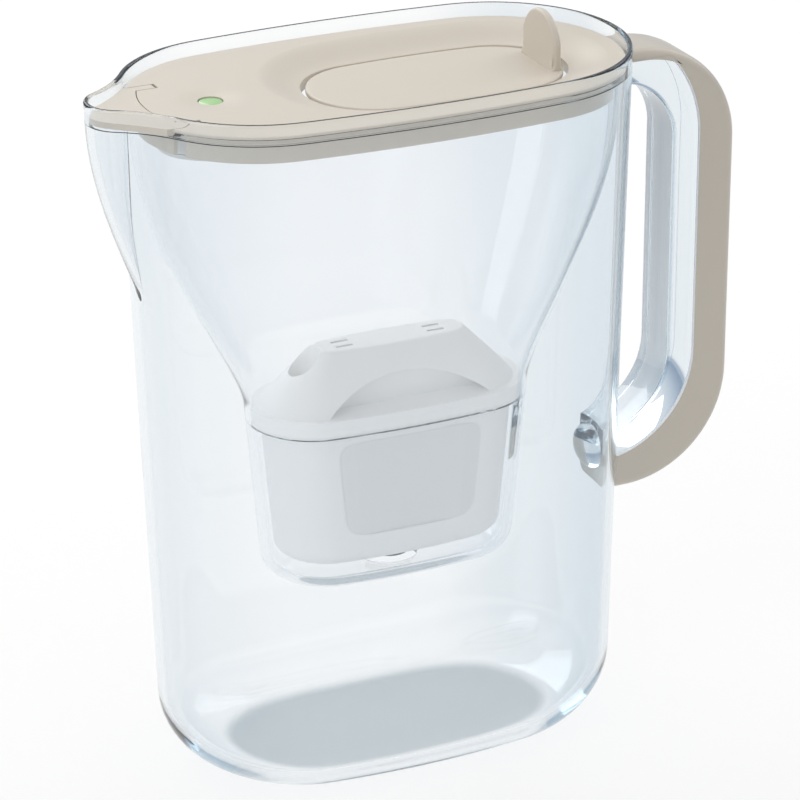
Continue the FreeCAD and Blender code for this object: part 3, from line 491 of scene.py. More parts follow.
GREIGE = moulded_finish("greige_moulded_plastic", (0.62, 0.565, 0.485), 0.97)
# The grip's pale inner face is painted light over the shade that this face lies in.
GRIP_GREIGE = moulded_finish(
    "greige_grip_plastic", (0.55, 0.505, 0.437), 0.97, 0.36,
    painted_light_shade_mask=grip_inner_painted_light, painted_light_shade_colour=(0.90, 0.92, 0.94, 1),
)
WHITE = (0.95, 0.95, 0.945)
CARTRIDGE_WHITE = moulded_finish("white_cartridge_plastic", WHITE, 0.985, 0.4)
# The cup's window is painted shade: a darker grey inside the pressed-in recess.
CUP_WHITE = moulded_finish(
    "white_cup_plastic", WHITE, 0.985, 0.4, painted_light_shade_mask=cup_window_painted_shade, painted_light_shade_colour=(0.84, 0.84, 0.845, 1)
)
PALE_SEAL = moulded_finish("pale_seal_rubber", (0.86, 0.86, 0.855), 0.96, 0.6, 0.1)
MODULE_WHITE = moulded_finish("white_module_plastic", (0.74, 0.74, 0.73), 0.97)
DARK_PLASTIC = moulded_finish("dark_outlet_plastic", (0.05, 0.06, 0.07), 0.8, 0.5)
SWITCH_BLACK = moulded_finish("black_switch_plastic", (0.03, 0.03, 0.032), 0.8, 0.45)
SEAL_RUBBER = moulded_finish("grey_seal_rubber", (0.12, 0.12, 0.125), 0.85, 0.65, 0.15)
print("moulded finishes made, the lid in", GREIGE.name)

# %% [markdown]
# ## The reminder light and its electronics
# The light is a green translucent button. Real light through it would take many samples for a tiny
# spot, so a faint glow stands in. The board, the battery and its contacts show only when the lid is
# lifted and turned, so simple patterns do for them.

# %% Lens, board and metal
def lens_finish():
    finish, start = new_finish("green_lens")
    cloud = mottle(start, 300.0)
    return plain_surface(finish, start, {
        "Base Color": blend_colours(start, cloud, (0.24, 0.48, 0.15, 1), (0.36, 0.60, 0.25, 1)),
        "Roughness": 0.25 + 0.1 * cloud,
        "Emission Color": blend_colours(start, cloud, (0.10, 0.60, 0.05, 1), (0.25, 0.80, 0.15, 1)),
        "Emission Strength": 0.05,
        "Coat Weight": 0.4,
    })


def board_finish():
    """Green lacquer over copper tracks, which run on a small grid."""
    finish, start = new_finish("circuit_board_lacquer")
    tracks = start.node(
        "ShaderNodeTexBrick", {"offset": 0.5},
        {"Vector": object_place(start), "Scale": 160.0, "Mortar Size": 0.03}, output="Fac",
    )
    return plain_surface(finish, start, {
        "Base Color": blend_colours(start, tracks, (0.02, 0.12, 0.05, 1), (0.06, 0.24, 0.10, 1)),
        "Roughness": 0.35 + 0.1 * mottle(start, 400.0),
    })


def metal_finish():
    """Bright sheet metal, brushed along one direction."""
    finish, start = new_finish("bright_contact_metal")
    drawn_out = start.node(
        "ShaderNodeMapping", None, {"Vector": object_place(start), "Scale": (40, 900, 40)}
    )
    brushed = start.node(
        "ShaderNodeTexNoise", None, {"Vector": drawn_out, "Scale": 1.0, "Detail": 2.0}
    )
    return plain_surface(finish, start, {
        "Base Color": blend_colours(start, brushed, (0.55, 0.55, 0.53, 1), (0.72, 0.72, 0.70, 1)),
        "Metallic": 1.0,
        "Roughness": 0.22 + 0.2 * brushed,
    })


GREEN_LENS, BOARD, METAL = lens_finish(), board_finish(), metal_finish()
print("finishes of the light:", GREEN_LENS.name, BOARD.name, METAL.name)

# %% [markdown]
# ## The filter's inside
# The cartridge holds a bed of dark carbon grains and pale resin beads between two woven sieves.
# Thousands of real grains would cost far more than they show, so both are drawn by textures with a
# relief: crossing waves for the weave, small cells for the grains.

# %% Sieve cloth and granules
def sieve_finish():
    """Fine woven cloth: two crossing sets of threads."""
    finish, start = new_finish("woven_sieve_mesh")
    threads = [
        start.node(
            "ShaderNodeTexWave", {"bands_direction": way},
            {"Vector": object_place(start), "Scale": 260.0}, "Fac",
        )
        for way in ("X", "Y")
    ]
    weave = threads[0] * threads[1]
    return plain_surface(finish, start, {
        "Base Color": blend_colours(start, weave, (0.35, 0.36, 0.36, 1), (0.78, 0.79, 0.79, 1)),
        "Roughness": 0.7 - 0.2 * weave,
        "Normal": bump_from(start, weave, 0.4, 0.0003),
    })


def granule_finish():
    """Dark carbon grains mixed with pale resin beads."""
    finish, start = new_finish("filter_granules")
    grains = start.node(
        "ShaderNodeTexVoronoi", None, {"Vector": object_place(start), "Scale": 700.0}, "Distance"
    )
    kinds = start.node("ShaderNodeTexNoise", None, {"Vector": object_place(start), "Scale": 500.0})
    pale = kinds > 0.56
    return plain_surface(finish, start, {
        "Base Color": blend_colours(start, pale, (0.025, 0.025, 0.025, 1), (0.55, 0.48, 0.34, 1)),
        "Roughness": 0.75 - 0.3 * grains,
        "Normal": bump_from(start, grains, 0.8, 0.001),
    })


SIEVE, GRANULES = sieve_finish(), granule_finish()
print("finishes of the filter:", SIEVE.name, GRANULES.name)

# %% [markdown]
# ## Finishes on the CAD pieces
# The record gives each CAD piece a material slot, and most finishes go on by that slot. Two pieces
# of the cartridge have their own: the cup with its window, and its seal, which is pale, not black.

# %% Finishes by slot
SLOT_FINISHES = {
    "clear_plastic": JUG_CLEAR, "greige_plastic": GREIGE, "green_lens": GREEN_LENS,
    "white_plastic": MODULE_WHITE, "cartridge_plastic": CARTRIDGE_WHITE,
    "seal_rubber": SEAL_RUBBER, "board_laminate": BOARD, "led_resin": GREEN_LENS,
    "switch_plastic": SWITCH_BLACK, "contact_metal": METAL, "sieve_mesh": SIEVE,
    "filter_granules": GRANULES, "dark_plastic": DARK_PLASTIC,
}
NODE_FINISHES = {"cartridge_cup": CUP_WHITE, "cartridge_seal": PALE_SEAL}
for part in frame["record"]["subparts"]:
    shown = frame["nodes"][part["node"]].data
    shown.materials.clear()
    shown.materials.append(NODE_FINISHES.get(part["node"], SLOT_FINISHES[part["material_slot"]]))
print("finishes on", len(frame["nodes"]), "CAD nodes")

# %% [markdown]
# ## The clear jug
# The jug is one closed skin: up the outside from the base, over the rim, and down the inside to the
# floor. A Solidify modifier would give every wall the same thickness, but the rim is thinner above
# the ledge that carries the funnel, and the floor is thicker, so both skins are written out. The
# bottom edge rounds off along a quarter of an ellipse, wider at the ends than at the sides.

# %% Jug wall
WALL, FLOOR, RIM_WALL, LEDGE, LEDGE_EDGE, ROUND_RISE = 3.0, 3.6, 2.0, 268.5, 0.3, 28.0
WALL_HEIGHTS = np.concatenate([np.linspace(32, 180, 22), np.linspace(183, 262, 56)])
UNDER_RIM = [266, 270, 274]
RIM_EDGE = [
    (0.0, -1.0), (0.12, -0.5), (0.45, -0.1), (1.0, 0.0), (1.55, -0.1), (1.88, -0.5), (2.0, -1.0),
]


def towards_middle(ring, shares):
    """Smaller copies of a ring in its own plane, down to a small patch in the middle."""
    middle = ring.mean(axis=0)
    return [middle + (ring - middle) * share for share in shares]


def quarter_turn(steps):
    """The two offsets of points on a rounded edge, as shares of its radius."""
    turns = np.linspace(0, math.pi / 2, steps)
    return list(zip(1 - np.cos(turns), 1 - np.sin(turns)))


def rounding(floor, inset, steps=14):
    """Rings round the bottom edge, from the flat of the floor up to the straight wall."""
    return [
        jug_ring(floor + (ROUND_RISE - floor) * rise, inset, drawn)
        for rise, drawn in quarter_turn(steps)
    ]


def jug_rings():
    base, floor = rounding(0.0, 0.0), rounding(FLOOR, WALL)
    rings = towards_middle(base[0], (0.02, 0.35, 0.7, 0.93)) + base
    rings += [jug_ring(z) for z in np.append(WALL_HEIGHTS, UNDER_RIM)]
    rings += [jug_ring(HEIGHT + lift, inset, outline_z=HEIGHT) for inset, lift in RIM_EDGE]
    rings += [jug_ring(z, RIM_WALL, outline_z=HEIGHT) for z in (273.0, LEDGE + LEDGE_EDGE)]
    rings += [jug_ring(LEDGE, RIM_WALL + LEDGE_EDGE, outline_z=HEIGHT)]
    rings += [jug_ring(LEDGE, WALL - LEDGE_EDGE)]
    rings += [jug_ring(z, WALL) for z in np.append(WALL_HEIGHTS, LEDGE - LEDGE_EDGE)[::-1]]
    rings += floor[::-1]
    return rings + towards_middle(floor[0], (0.93, 0.7, 0.35, 0.02))


jug = new_piece("clear_jug", *ring_stack(jug_rings()), None, JUG_CLEAR)
print("jug skin:", len(jug.data.vertices), "points")

# %% [markdown]
# ## Bars for the handle
# The handle is a C of clear plastic moulded on the jug, with a coloured grip clipped over its
# outside. A curve with a bevel profile would twist in the corners, so each is drawn as two lines in
# the side view, an outer and an inner one, and thickened sideways with its long edges rounded.

# %% Side views and their thickening
def arc(centre, radius, start, stop, steps=28):
    """Points on an arc in the side view, from one angle to another in degrees."""
    angle = np.radians(np.linspace(start, stop, steps))
    return np.column_stack([centre[0] + radius * np.cos(angle), centre[1] + radius * np.sin(angle)])


def along_path(runs, count):
    """One run of evenly spaced points along several straight or curved ones."""
    path = np.concatenate([np.asarray(run, float) for run in runs])
    far = np.append(0, np.cumsum(np.hypot(*np.diff(path, axis=0).T)))
    far += np.arange(len(far)) * 1e-9
    even = np.linspace(0, far[-1], count)
    return np.column_stack([np.interp(even, far, path[:, 0]), np.interp(even, far, path[:, 1])])


def left_of(run):
    """Unit vectors to the left of a run's direction."""
    ahead = np.gradient(run, axis=0)
    ahead /= np.hypot(*ahead.T)[:, None]
    return np.column_stack([-ahead[:, 1], ahead[:, 0]])


def thicken(outer, inner, half_width, outer_edge, inner_edge, steps=7):
    """A bar between two side-view runs, swept sideways, with its long edges rounded."""
    count = len(outer)
    towards_inner = np.sign(np.sum(left_of(outer) * (inner - outer)))
    out_dir, in_dir = -towards_inner * left_of(outer), towards_inner * left_of(inner)
    edges = np.repeat([outer_edge, inner_edge], count)
    rings = []
    turns = quarter_turn(steps)
    for side, order in ((-1, turns[::-1]), (1, turns)):
        for back, drop in order:
            outer_run = outer - out_dir * outer_edge * back
            inner_run = (inner - in_dir * inner_edge * back)[::-1]
            x, z = np.concatenate([outer_run, inner_run]).T
            rings.append(np.column_stack([x, (half_width - edges * drop) * side, z]))
    points, faces = ring_stack(rings, capped=False)
    last = (len(rings) - 1) * 2 * count
    for k in range(count - 1):
        quad = (k, k + 1, 2 * count - 2 - k, 2 * count - 1 - k)
        faces += [quad, tuple(last + corner for corner in quad)]
    return points, faces


print("bars can be thickened")

# %% [markdown]
# ## The handle's clear core
# The core starts under the rim, runs round and comes back to the wall, where a small rounded boss
# stands inside the jug. The core is a bar between two lines in the side view. The boss could be a
# squashed sphere, but a stack of ovals gives it a flat root that sits well in the wall.

# %% Core and boss
SEAM_TOP, UPPER_Z, LOWER_Z = 265.7, 232.4, 143.7
UPPER_X, UPPER_RADIUS, LOWER_X, LOWER_RADIUS = 79.6, 47.7, 86.4, 40.9
INNER_X, INNER_RADIUS, INNER_LOWER_RADIUS = 92.0, 24.6, 30.2
CORE_HALF, CORE_OUTER_EDGE, CORE_INNER_EDGE, CORE_POINTS = 11.5, 0.4, 1.6, 160
CORE_START_X, CORE_FOOT_ANGLE, INNER_TOP_ANGLE, INNER_FOOT_ANGLE = 94.9, -81.0, 83.0, -77.5
BOSS_ROOT, BOSS_FOOT, BOSS_DEPTH, BOSS_STOP = 92.2, 90.4, 5.9, 1.54
BOSS_MIDDLE, BOSS_SIZE = np.array([0.0, 104.2]), np.array([11.0, 8.8])
seam_rise = SEAM_TOP - UPPER_Z
seam_corner = UPPER_X + math.sqrt(UPPER_RADIUS ** 2 - seam_rise ** 2)
seam_bend = math.degrees(math.asin(seam_rise / UPPER_RADIUS))


def seam_run(top_x, foot_angle, gap, count):
    """The line where the grip meets the core, from the top at the wall round to the foot."""
    runs = [
        [(top_x, SEAM_TOP + gap), (seam_corner, SEAM_TOP + gap)],
        arc((UPPER_X, UPPER_Z), UPPER_RADIUS + gap, seam_bend, 0),
        arc((LOWER_X, LOWER_Z), LOWER_RADIUS + gap, 0, foot_angle),
    ]
    return along_path(runs, count)


def core_bar():
    upper = arc((INNER_X, UPPER_Z), INNER_RADIUS, INNER_TOP_ANGLE, 0)
    lower = arc((LOWER_X, LOWER_Z), INNER_LOWER_RADIUS, 0, INNER_FOOT_ANGLE)
    outer = seam_run(CORE_START_X, CORE_FOOT_ANGLE, 0.0, CORE_POINTS)
    inner = along_path([upper, lower], CORE_POINTS)
    return thicken(outer, inner, CORE_HALF, CORE_OUTER_EDGE, CORE_INNER_EDGE)


def boss_dome():
    """The rounded boss inside the wall behind the handle's foot, as rings along X."""
    around = np.arange(72) / 72 * 2 * math.pi
    outline = np.column_stack([np.cos(around), np.sin(around)]) * BOSS_SIZE
    turns = np.linspace(0, BOSS_STOP, 12)
    rings = []
    for x, share in [(BOSS_ROOT, 1.0)] + [
        (BOSS_FOOT - BOSS_DEPTH * math.sin(turn), math.cos(turn)) for turn in turns
    ]:
        flat = BOSS_MIDDLE + outline * share
        rings.append(np.column_stack([np.full(len(flat), x), flat]))
    return ring_stack(rings)


core = new_piece("clear_core", *core_bar(), None, JUG_CLEAR)
boss = new_piece("handle_boss", *boss_dome(), None, JUG_CLEAR)
print("core:", len(core.data.vertices), "points; boss:", len(boss.data.vertices), "points")

# %% [markdown]
# Core, boss and wall are one moulding. If they only overlapped, light would bend at hidden faces
# and a seam would show, so they are merged with a boolean union.

# %% Merging the clear pieces
def merge(base, extra, operation="UNION"):
    """Unite a closed mesh with a second one, or cut it away, and drop the second."""
    step = base.modifiers.new("merge", "BOOLEAN")
    step.operation = operation
    step.solver = "EXACT"
    step.object = extra
    graph = bpy.context.evaluated_depsgraph_get()
    merged = bpy.data.meshes.new_from_object(base.evaluated_get(graph))
    base.modifiers.clear()
    base.data = merged
    bpy.data.objects.remove(extra)


merge(jug, core)
merge(jug, boss)
tidy_normals(jug.data, 38)
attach(jug, "jug")
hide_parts("jug")
print("jug with handle:", len(jug.data.polygons), "faces")

# %% [markdown]
# ## The grip
# The grip is a thick coloured band over the outside of the core. It follows the core's outer line
# with a hair's gap, so that the two never share a face, which clear materials can't stand. Its
# outer edges are well rounded for the hand.

# %% Grip
GRIP_TOP, GRIP_LOW, GRIP_START_X, GRIP_FOOT_X = 269.8, 89.0, 97.4, 94.2
GRIP_UPPER_X, GRIP_UPPER_RADIUS, GRIP_LOWER_X, GRIP_LOWER_RADIUS = 102.4, 41.0, 99.4, 44.0
GRIP_HALF, GRIP_OUTER_EDGE, GRIP_SEAM_EDGE, GRIP_GAP, GRIP_POINTS = 12.5, 4.0, 0.5, 0.1, 200
GRIP_FOOT_ANGLE = -78.5
grip_outer = along_path([
    [(GRIP_START_X, GRIP_TOP), (GRIP_UPPER_X, GRIP_TOP)],
    arc((GRIP_UPPER_X, GRIP_TOP - GRIP_UPPER_RADIUS), GRIP_UPPER_RADIUS, 90, 0),
    arc((GRIP_LOWER_X, GRIP_LOW + GRIP_LOWER_RADIUS), GRIP_LOWER_RADIUS, 0, -90),
    [(GRIP_LOWER_X, GRIP_LOW), (GRIP_FOOT_X, GRIP_LOW)],
], GRIP_POINTS)
grip_inner = seam_run(GRIP_START_X, GRIP_FOOT_ANGLE, GRIP_GAP, GRIP_POINTS)
grip_bar = thicken(grip_outer, grip_inner, GRIP_HALF, GRIP_OUTER_EDGE, GRIP_SEAM_EDGE)
grip = new_piece("handle_grip_shell", *grip_bar, "jug", GRIP_GREIGE)
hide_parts("handle_grip")
print("grip:", len(grip.data.vertices), "points")

# %% [markdown]
# ## The funnel
# The funnel is a thin clear shell: a cup for the cartridge, a curved flare, and a mouth with a
# flange that hangs on the jug's ledge. Its rings run up the outside, over the flange, down the
# inside and back to the hole in the cup's floor, so the last ring joins the first, and the hole
# needs no boolean.

# %% Funnel outlines
CUP_LOW, CUP_FLOOR, SEAT, NECK, MOUTH = 74.9, 77.3, 139.5, 146.8, 262.8
FLANGE, FLANGE_TOP, FLANGE_LOWERED = 268.8, 270.7, 269.2
FUNNEL_WALL, CUP_STEP, SEAT_EDGE, DRAIN_RADIUS = 2.0, 2.0, 0.3, 11.0
NECK_LENGTH, NECK_WIDTH, CUP_BOW, FLARE_EASE, MOUTH_GAP = 57.0, 27.5, 1.5, 0.72, 4.3
CUP_TAPER_LENGTH, CUP_TAPER_WIDTH = 6.5, 1.2
SPOUT_FLAP_HALF, SPOUT_FLAP_BEFORE = 24.6, -80
RIM_LENGTH, RIM_WIDTH = FOOT_LENGTH + LENGTH_GAIN, FOOT_WIDTH + WIDTH_GAIN
MOUTH_LENGTH = FOOT_LENGTH + LENGTH_GAIN * LEDGE / HEIGHT - MOUTH_GAP
MOUTH_WIDTH = FOOT_WIDTH + WIDTH_GAIN * LEDGE / HEIGHT - MOUTH_GAP
MOUTH_MIDDLE = RIM_MIDDLE * LEDGE / HEIGHT


def cup_ring(z, inset=0.0, drawn=0.0):
    share = (NECK - z) / (NECK - CUP_LOW)
    long = NECK_LENGTH - CUP_TAPER_LENGTH * share - inset - drawn
    wide = NECK_WIDTH - CUP_TAPER_WIDTH * share - inset - drawn
    return at_height(oval_ring(long, wide, CUP_BOW), z)


def flare_ring(z, inset=0.0):
    eased = ((z - NECK) / (MOUTH - NECK)) ** FLARE_EASE
    spread = 3 * eased ** 2 - 2 * eased ** 3
    long = NECK_LENGTH + (MOUTH_LENGTH - NECK_LENGTH) * spread - inset
    wide = NECK_WIDTH + (MOUTH_WIDTH - NECK_WIDTH) * spread - inset
    bow = CUP_BOW + (JUG_BOW - CUP_BOW) * spread
    return at_height(oval_ring(long, wide, bow, MOUTH_MIDDLE * spread), z)


def mouth_ring(z, inset=0.0):
    flat = oval_ring(MOUTH_LENGTH - inset, MOUTH_WIDTH - inset, JUG_BOW, MOUTH_MIDDLE)
    return at_height(flat, z)


def flange_ring(z, inset):
    """The flange's outline, lowered where the spout flap lies over it."""
    flat = oval_ring(RIM_LENGTH - inset, RIM_WIDTH - inset, JUG_BOW, RIM_MIDDLE)
    lowered = (np.abs(flat[:, 1]) < SPOUT_FLAP_HALF) & (flat[:, 0] < SPOUT_FLAP_BEFORE)
    return at_height(flat, np.where(lowered, min(z, FLANGE_LOWERED), z))


def round_cup(low, inset, radius, steps=9):
    """Rings round the lower edge of the cup."""
    return [
        cup_ring(low + radius * rise, inset, radius * drawn) for rise, drawn in quarter_turn(steps)
    ]


def drain_ring(z):
    return at_height(np.column_stack([np.cos(RAYS), np.sin(RAYS)]) * DRAIN_RADIUS, z)


print("funnel mouth, mm:", round(2 * MOUTH_LENGTH, 1), "by", round(2 * MOUTH_WIDTH, 1))

# %% [markdown]
# The flare bends light more than the rest of the funnel, so it gets sixty rings, and the straight
# cup only a few.

# %% Funnel shell
CUP_STRAIGHT, CUP_ROUND, CUP_INNER_ROUND, MOUTH_STRAIGHT = 86, 9.0, 7.0, (264.5, FLANGE - 0.3)
FLANGE_EDGE = [
    (FLANGE, 4.2), (FLANGE, 2.6), (FLANGE + 0.2, 2.4),
    (FLANGE_TOP - 0.2, 2.4), (FLANGE_TOP, 2.6), (FLANGE_TOP, 6.2),
]


def funnel_rings():
    flare, cup = np.linspace(NECK, MOUTH, 60), np.linspace(CUP_STRAIGHT, NECK - 0.5, 14)
    thick = FUNNEL_WALL + CUP_STEP
    rings = [drain_ring(CUP_LOW)] + round_cup(CUP_LOW, 0.0, CUP_ROUND)
    rings += [cup_ring(z) for z in cup] + [flare_ring(z) for z in flare]
    rings += [mouth_ring(z) for z in MOUTH_STRAIGHT]
    rings += [flange_ring(z, inset) for z, inset in FLANGE_EDGE]
    rings += [mouth_ring(z, FUNNEL_WALL) for z in MOUTH_STRAIGHT[::-1]]
    rings += [flare_ring(z, FUNNEL_WALL) for z in flare[::-1]]
    rings += [cup_ring(z, FUNNEL_WALL) for z in (NECK - 2, SEAT + SEAT_EDGE)]
    rings += [cup_ring(SEAT, FUNNEL_WALL + SEAT_EDGE), cup_ring(SEAT, thick - SEAT_EDGE)]
    rings += [cup_ring(z, thick) for z in np.linspace(SEAT - SEAT_EDGE, CUP_STRAIGHT, 14)]
    return rings + round_cup(CUP_FLOOR, thick, CUP_INNER_ROUND)[::-1] + [drain_ring(CUP_FLOOR)]


funnel_skin = ring_stack(funnel_rings(), capped=False, looped=True)
funnel = new_piece("clear_funnel", *funnel_skin, "funnel", FUNNEL_CLEAR)
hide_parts("funnel")
print("funnel:", len(funnel.data.vertices), "points")

# %% [markdown]
# ## The lid
# The lid is a plate with a skirt that plugs the funnel's mouth. A dish in it sinks softly to the
# refill opening, and a shallow dimple holds the reminder light. The dish could be shaped with
# subdivision, but its slope has to meet the flap exactly, so every level has its own outline.

# %% Lid outlines
LID_TOP, LID_LOW, LID_UNDER, SKIRT_LOW, SKIRT_EDGE = 272.0, 271.0, 269.6, 260.8, 0.4
LID_GAP, SKIRT_GAP, SKIRT_WALL, PLATE_EDGE = 2.4, 2.4, 1.6, 1.4
FLAP_LENGTH, FLAP_WIDTH, FLAP_BOW, FLAP_MIDDLE = 50.5, 27.0, 1.0, 20.5
FLAP_TOP, DISH_LOW = 267.4, 263.2
DISH_SPREAD, DISH_LIP, DISH_WALL, OPENING = 17.0, 0.4, 2.2, (2.0, 0.6)
LIGHT_AT, DIMPLE_RADIUS, DIMPLE_DEPTH = -70.0, 14.0, 1.0


def flap_ring(z, long, wide=None):
    """The refill flap's outline, spread outwards."""
    wide = long if wide is None else wide
    return at_height(oval_ring(FLAP_LENGTH + long, FLAP_WIDTH + wide, FLAP_BOW, FLAP_MIDDLE), z)


def lid_edge(z, inset):
    long, wide = RIM_LENGTH - LID_GAP - inset, RIM_WIDTH - LID_GAP - inset
    return at_height(oval_ring(long, wide, JUG_BOW, RIM_MIDDLE), z)


def skirt_ring(z, inset):
    long, wide = MOUTH_LENGTH - SKIRT_GAP - inset, MOUTH_WIDTH - SKIRT_GAP - inset
    return at_height(oval_ring(long, wide, JUG_BOW, MOUTH_MIDDLE), z)


def dish_ring(share):
    """One level of the dish, from the opening at 0 to the flat of the lid at 1."""
    rise = 0.35 * share + 0.65 * (3 * share ** 2 - 2 * share ** 3)
    starts = [gap + DISH_LIP for gap in OPENING]
    long, wide = (start + (DISH_SPREAD - start) * share for start in starts)
    return flap_ring(FLAP_TOP + (LID_TOP - FLAP_TOP) * rise, long, wide)


def with_dimple(ring):
    """Press the light's dimple into a ring of the lid's top."""
    far = np.hypot(ring[:, 0] - LIGHT_AT, ring[:, 1]) / DIMPLE_RADIUS
    deep = np.where(far < 1, DIMPLE_DEPTH * np.cos(np.minimum(far, 1) * math.pi / 2) ** 2, 0)
    return np.column_stack([ring[:, :2], ring[:, 2] - deep])


print("dish, mm deep:", round(LID_TOP - FLAP_TOP, 1))

# %% [markdown]
# Each ray of the lid's mesh runs from the opening up the dish and out to the lid's edge, over it,
# down the skirt and back under the dish, so one stack of rings holds both sides of the plate.

# %% Lid shell
LID_EDGE_ROUND = [
    (1.0, 272.0), (0.55, 271.93), (0.2, 271.75), (0.03, 271.5), (0.0, 271.25), (0.12, 271.0),
]


def lid_rings():
    shoulder, plate_edge = dish_ring(1.0), lid_edge(LID_TOP, PLATE_EDGE)
    skirt_turn = SKIRT_LOW + SKIRT_EDGE
    rings = [flap_ring(DISH_LOW, *OPENING), flap_ring(FLAP_TOP - 0.5, *OPENING)]
    rings += [flap_ring(FLAP_TOP - 0.15, *(gap + 0.1 for gap in OPENING))]
    rings += [dish_ring(share) for share in np.linspace(0, 1, 22)]
    for share in np.linspace(0, 1, 44)[1:]:
        rings.append(with_dimple(shoulder + (plate_edge - shoulder) * share))
    rings += [lid_edge(z, inset) for inset, z in LID_EDGE_ROUND]
    rings += [skirt_ring(LID_LOW, 0), skirt_ring(skirt_turn, 0)]
    rings += [skirt_ring(SKIRT_LOW, inset) for inset in (SKIRT_EDGE, SKIRT_WALL - SKIRT_EDGE)]
    rings += [skirt_ring(skirt_turn, SKIRT_WALL), skirt_ring(LID_UNDER, SKIRT_WALL)]
    rings += [flap_ring(LID_UNDER, DISH_SPREAD - 3.0)]
    return rings + [flap_ring(DISH_LOW, *(gap + DISH_WALL for gap in OPENING))]


lid = new_piece("lid_shell", *ring_stack(lid_rings(), capped=False, looped=True), None, GREIGE)
print("lid before cutting:", len(lid.data.vertices), "points")

# %% [markdown]
# At the spout the plate ends at a curved seam, where the spout flap begins. Two notches make room
# for the flap's ears, and the reminder light has a round hole. Rings can't follow such outlines, so
# booleans cut them. The cutters reach well past the plate, because faces in one plane upset them.

# %% Cutting the lid
CUT_LOW, CUT_HIGH, CUT_FRONT, LIGHT_HOLE, LIGHT_HOLE_LOW = 260.0, 275.0, -125.0, 4.8, 262.0
SEAM_AT, SEAM_RADIUS, SEAM_HALF, SEAM_GAP = -95.5, 49.0, 24.0, 0.4
EAR_FRONT, EAR_BACK, EAR_WIDTH = -97.0, -82.4, 4.4


def turned(profile, middle=(0.0, 0.0), steps=96):
    """Rings about an upright axis from (radius, height) pairs."""
    angle = np.arange(steps) / steps * 2 * math.pi
    circle = np.column_stack([np.cos(angle), np.sin(angle)])
    return [at_height(circle * radius + middle, z) for radius, z in profile]


def upright(flat):
    """A cutter with one outline all the way through the lid."""
    return ring_stack([at_height(flat, CUT_LOW), at_height(flat, CUT_HIGH)])


def spout_zone():
    """The area in front of the curved seam."""
    half = SEAM_HALF + SEAM_GAP
    y = np.linspace(-half, half, 41)
    x = SEAM_AT + SEAM_RADIUS - np.sqrt((SEAM_RADIUS - SEAM_GAP) ** 2 - y ** 2)
    seam = np.column_stack([x, y])
    return upright(np.concatenate([[(CUT_FRONT, -half)], seam, [(CUT_FRONT, half)]]))


def ear_notch(side):
    y0, y1 = sorted((side * (SEAM_HALF - EAR_WIDTH), side * (SEAM_HALF + SEAM_GAP)))
    corners = [(EAR_FRONT, y0), (EAR_BACK, y0), (EAR_BACK, y1), (EAR_FRONT, y1)]
    return upright(np.array(corners))


hole = turned([(LIGHT_HOLE, LIGHT_HOLE_LOW), (LIGHT_HOLE, CUT_HIGH)], (LIGHT_AT, 0))
for cutter in (spout_zone(), ring_stack(hole), ear_notch(-1), ear_notch(1)):
    merge(lid, new_piece("cutter", *cutter, None, GREIGE), "DIFFERENCE")
tidy_normals(lid.data, 40)
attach(lid, "lid")
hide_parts("lid")
print("lid:", len(lid.data.polygons), "faces")

# %% [markdown]
# ## The refill flap
# The flap is a flat oval plate that closes the opening. A bevel modifier could soften its edges,
# but rings are at hand already, and they give a larger rounding on top than below.

# %% Refill flap
FLAP_UNDER, FLAP_EDGE, FLAP_EDGE_START = 265.0, 0.8, 0.9


def flap_plate():
    under = flap_ring(FLAP_UNDER, -0.5)
    rings = towards_middle(under, (0.02, 0.3, 0.6, 0.9)) + [under]
    rings += [flap_ring(FLAP_UNDER + 0.15, -0.15), flap_ring(FLAP_UNDER + 0.5, 0)]
    rings += [flap_ring(FLAP_TOP - FLAP_EDGE_START, 0)]
    for back, drop in quarter_turn(8):
        z = FLAP_TOP - FLAP_EDGE_START + FLAP_EDGE * (1 - drop)
        rings.append(flap_ring(z, -FLAP_EDGE * back))
    rings += [flap_ring(FLAP_TOP, -2.6)]
    return rings + towards_middle(rings[-1], (0.9, 0.6, 0.3, 0.02))


flap = new_piece("refill_flap_plate", *ring_stack(flap_plate()), None, GREIGE)
print("flap before the fin:", len(flap.data.polygons), "faces")

# %% [markdown]
# The flap is lifted by an upright fin at the handle end: an arch swept a little way along the lid,
# with rounded edges, which widens where it grows out of the plate. Level rings can't give an arch,
# so it is made apart, from rings that stand upright, and united with the plate.

# %% Fin
FIN_AT, FIN_HALF, FIN_TOP, FIN_CROWN = 65.0, 13.5, 287.7, 1.02
FIN_THICK, FIN_ROUND, FIN_FLARE, FIN_FLARE_HEIGHT, FIN_ROOT = 1.5, 1.2, 1.1, 2.6, 1.2


def fin_outline(inset):
    """The arch of the fin seen along the lid, moved inwards."""
    half, radius = FIN_HALF - inset, FIN_HALF * FIN_CROWN - inset
    bend = math.acos(min(half / radius, 1))
    low = FIN_TOP - FIN_HALF * FIN_CROWN
    angle = np.linspace(bend, math.pi - bend, 60)
    crown = np.column_stack([radius * np.cos(angle), low + radius * np.sin(angle)])
    side = np.linspace(FLAP_TOP - FIN_ROOT, crown[0, 1], 24)[:-1]
    right = np.column_stack([np.full(len(side), half), side])
    left = np.column_stack([np.full(len(side), -half), side[::-1]])
    return np.concatenate([right, crown, left])


def fin_rings():
    rings = []
    turns = quarter_turn(7)
    for side, order in ((-1, turns[::-1]), (1, turns)):
        for back, drop in order:
            flat = fin_outline(FIN_ROUND * back)
            low = np.clip((FLAP_TOP + FIN_FLARE_HEIGHT - flat[:, 1]) / FIN_FLARE_HEIGHT, 0, 1)
            reach = FIN_THICK - FIN_ROUND * drop + FIN_FLARE * low ** 2
            rings.append(np.column_stack([FIN_AT + side * reach, flat]))
    return rings


merge(flap, new_piece("fin", *ring_stack(fin_rings()), None, GREIGE))
tidy_normals(flap.data, 40)
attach(flap, "refill_flap")
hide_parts("refill_flap")
print("refill flap:", len(flap.data.polygons), "faces")

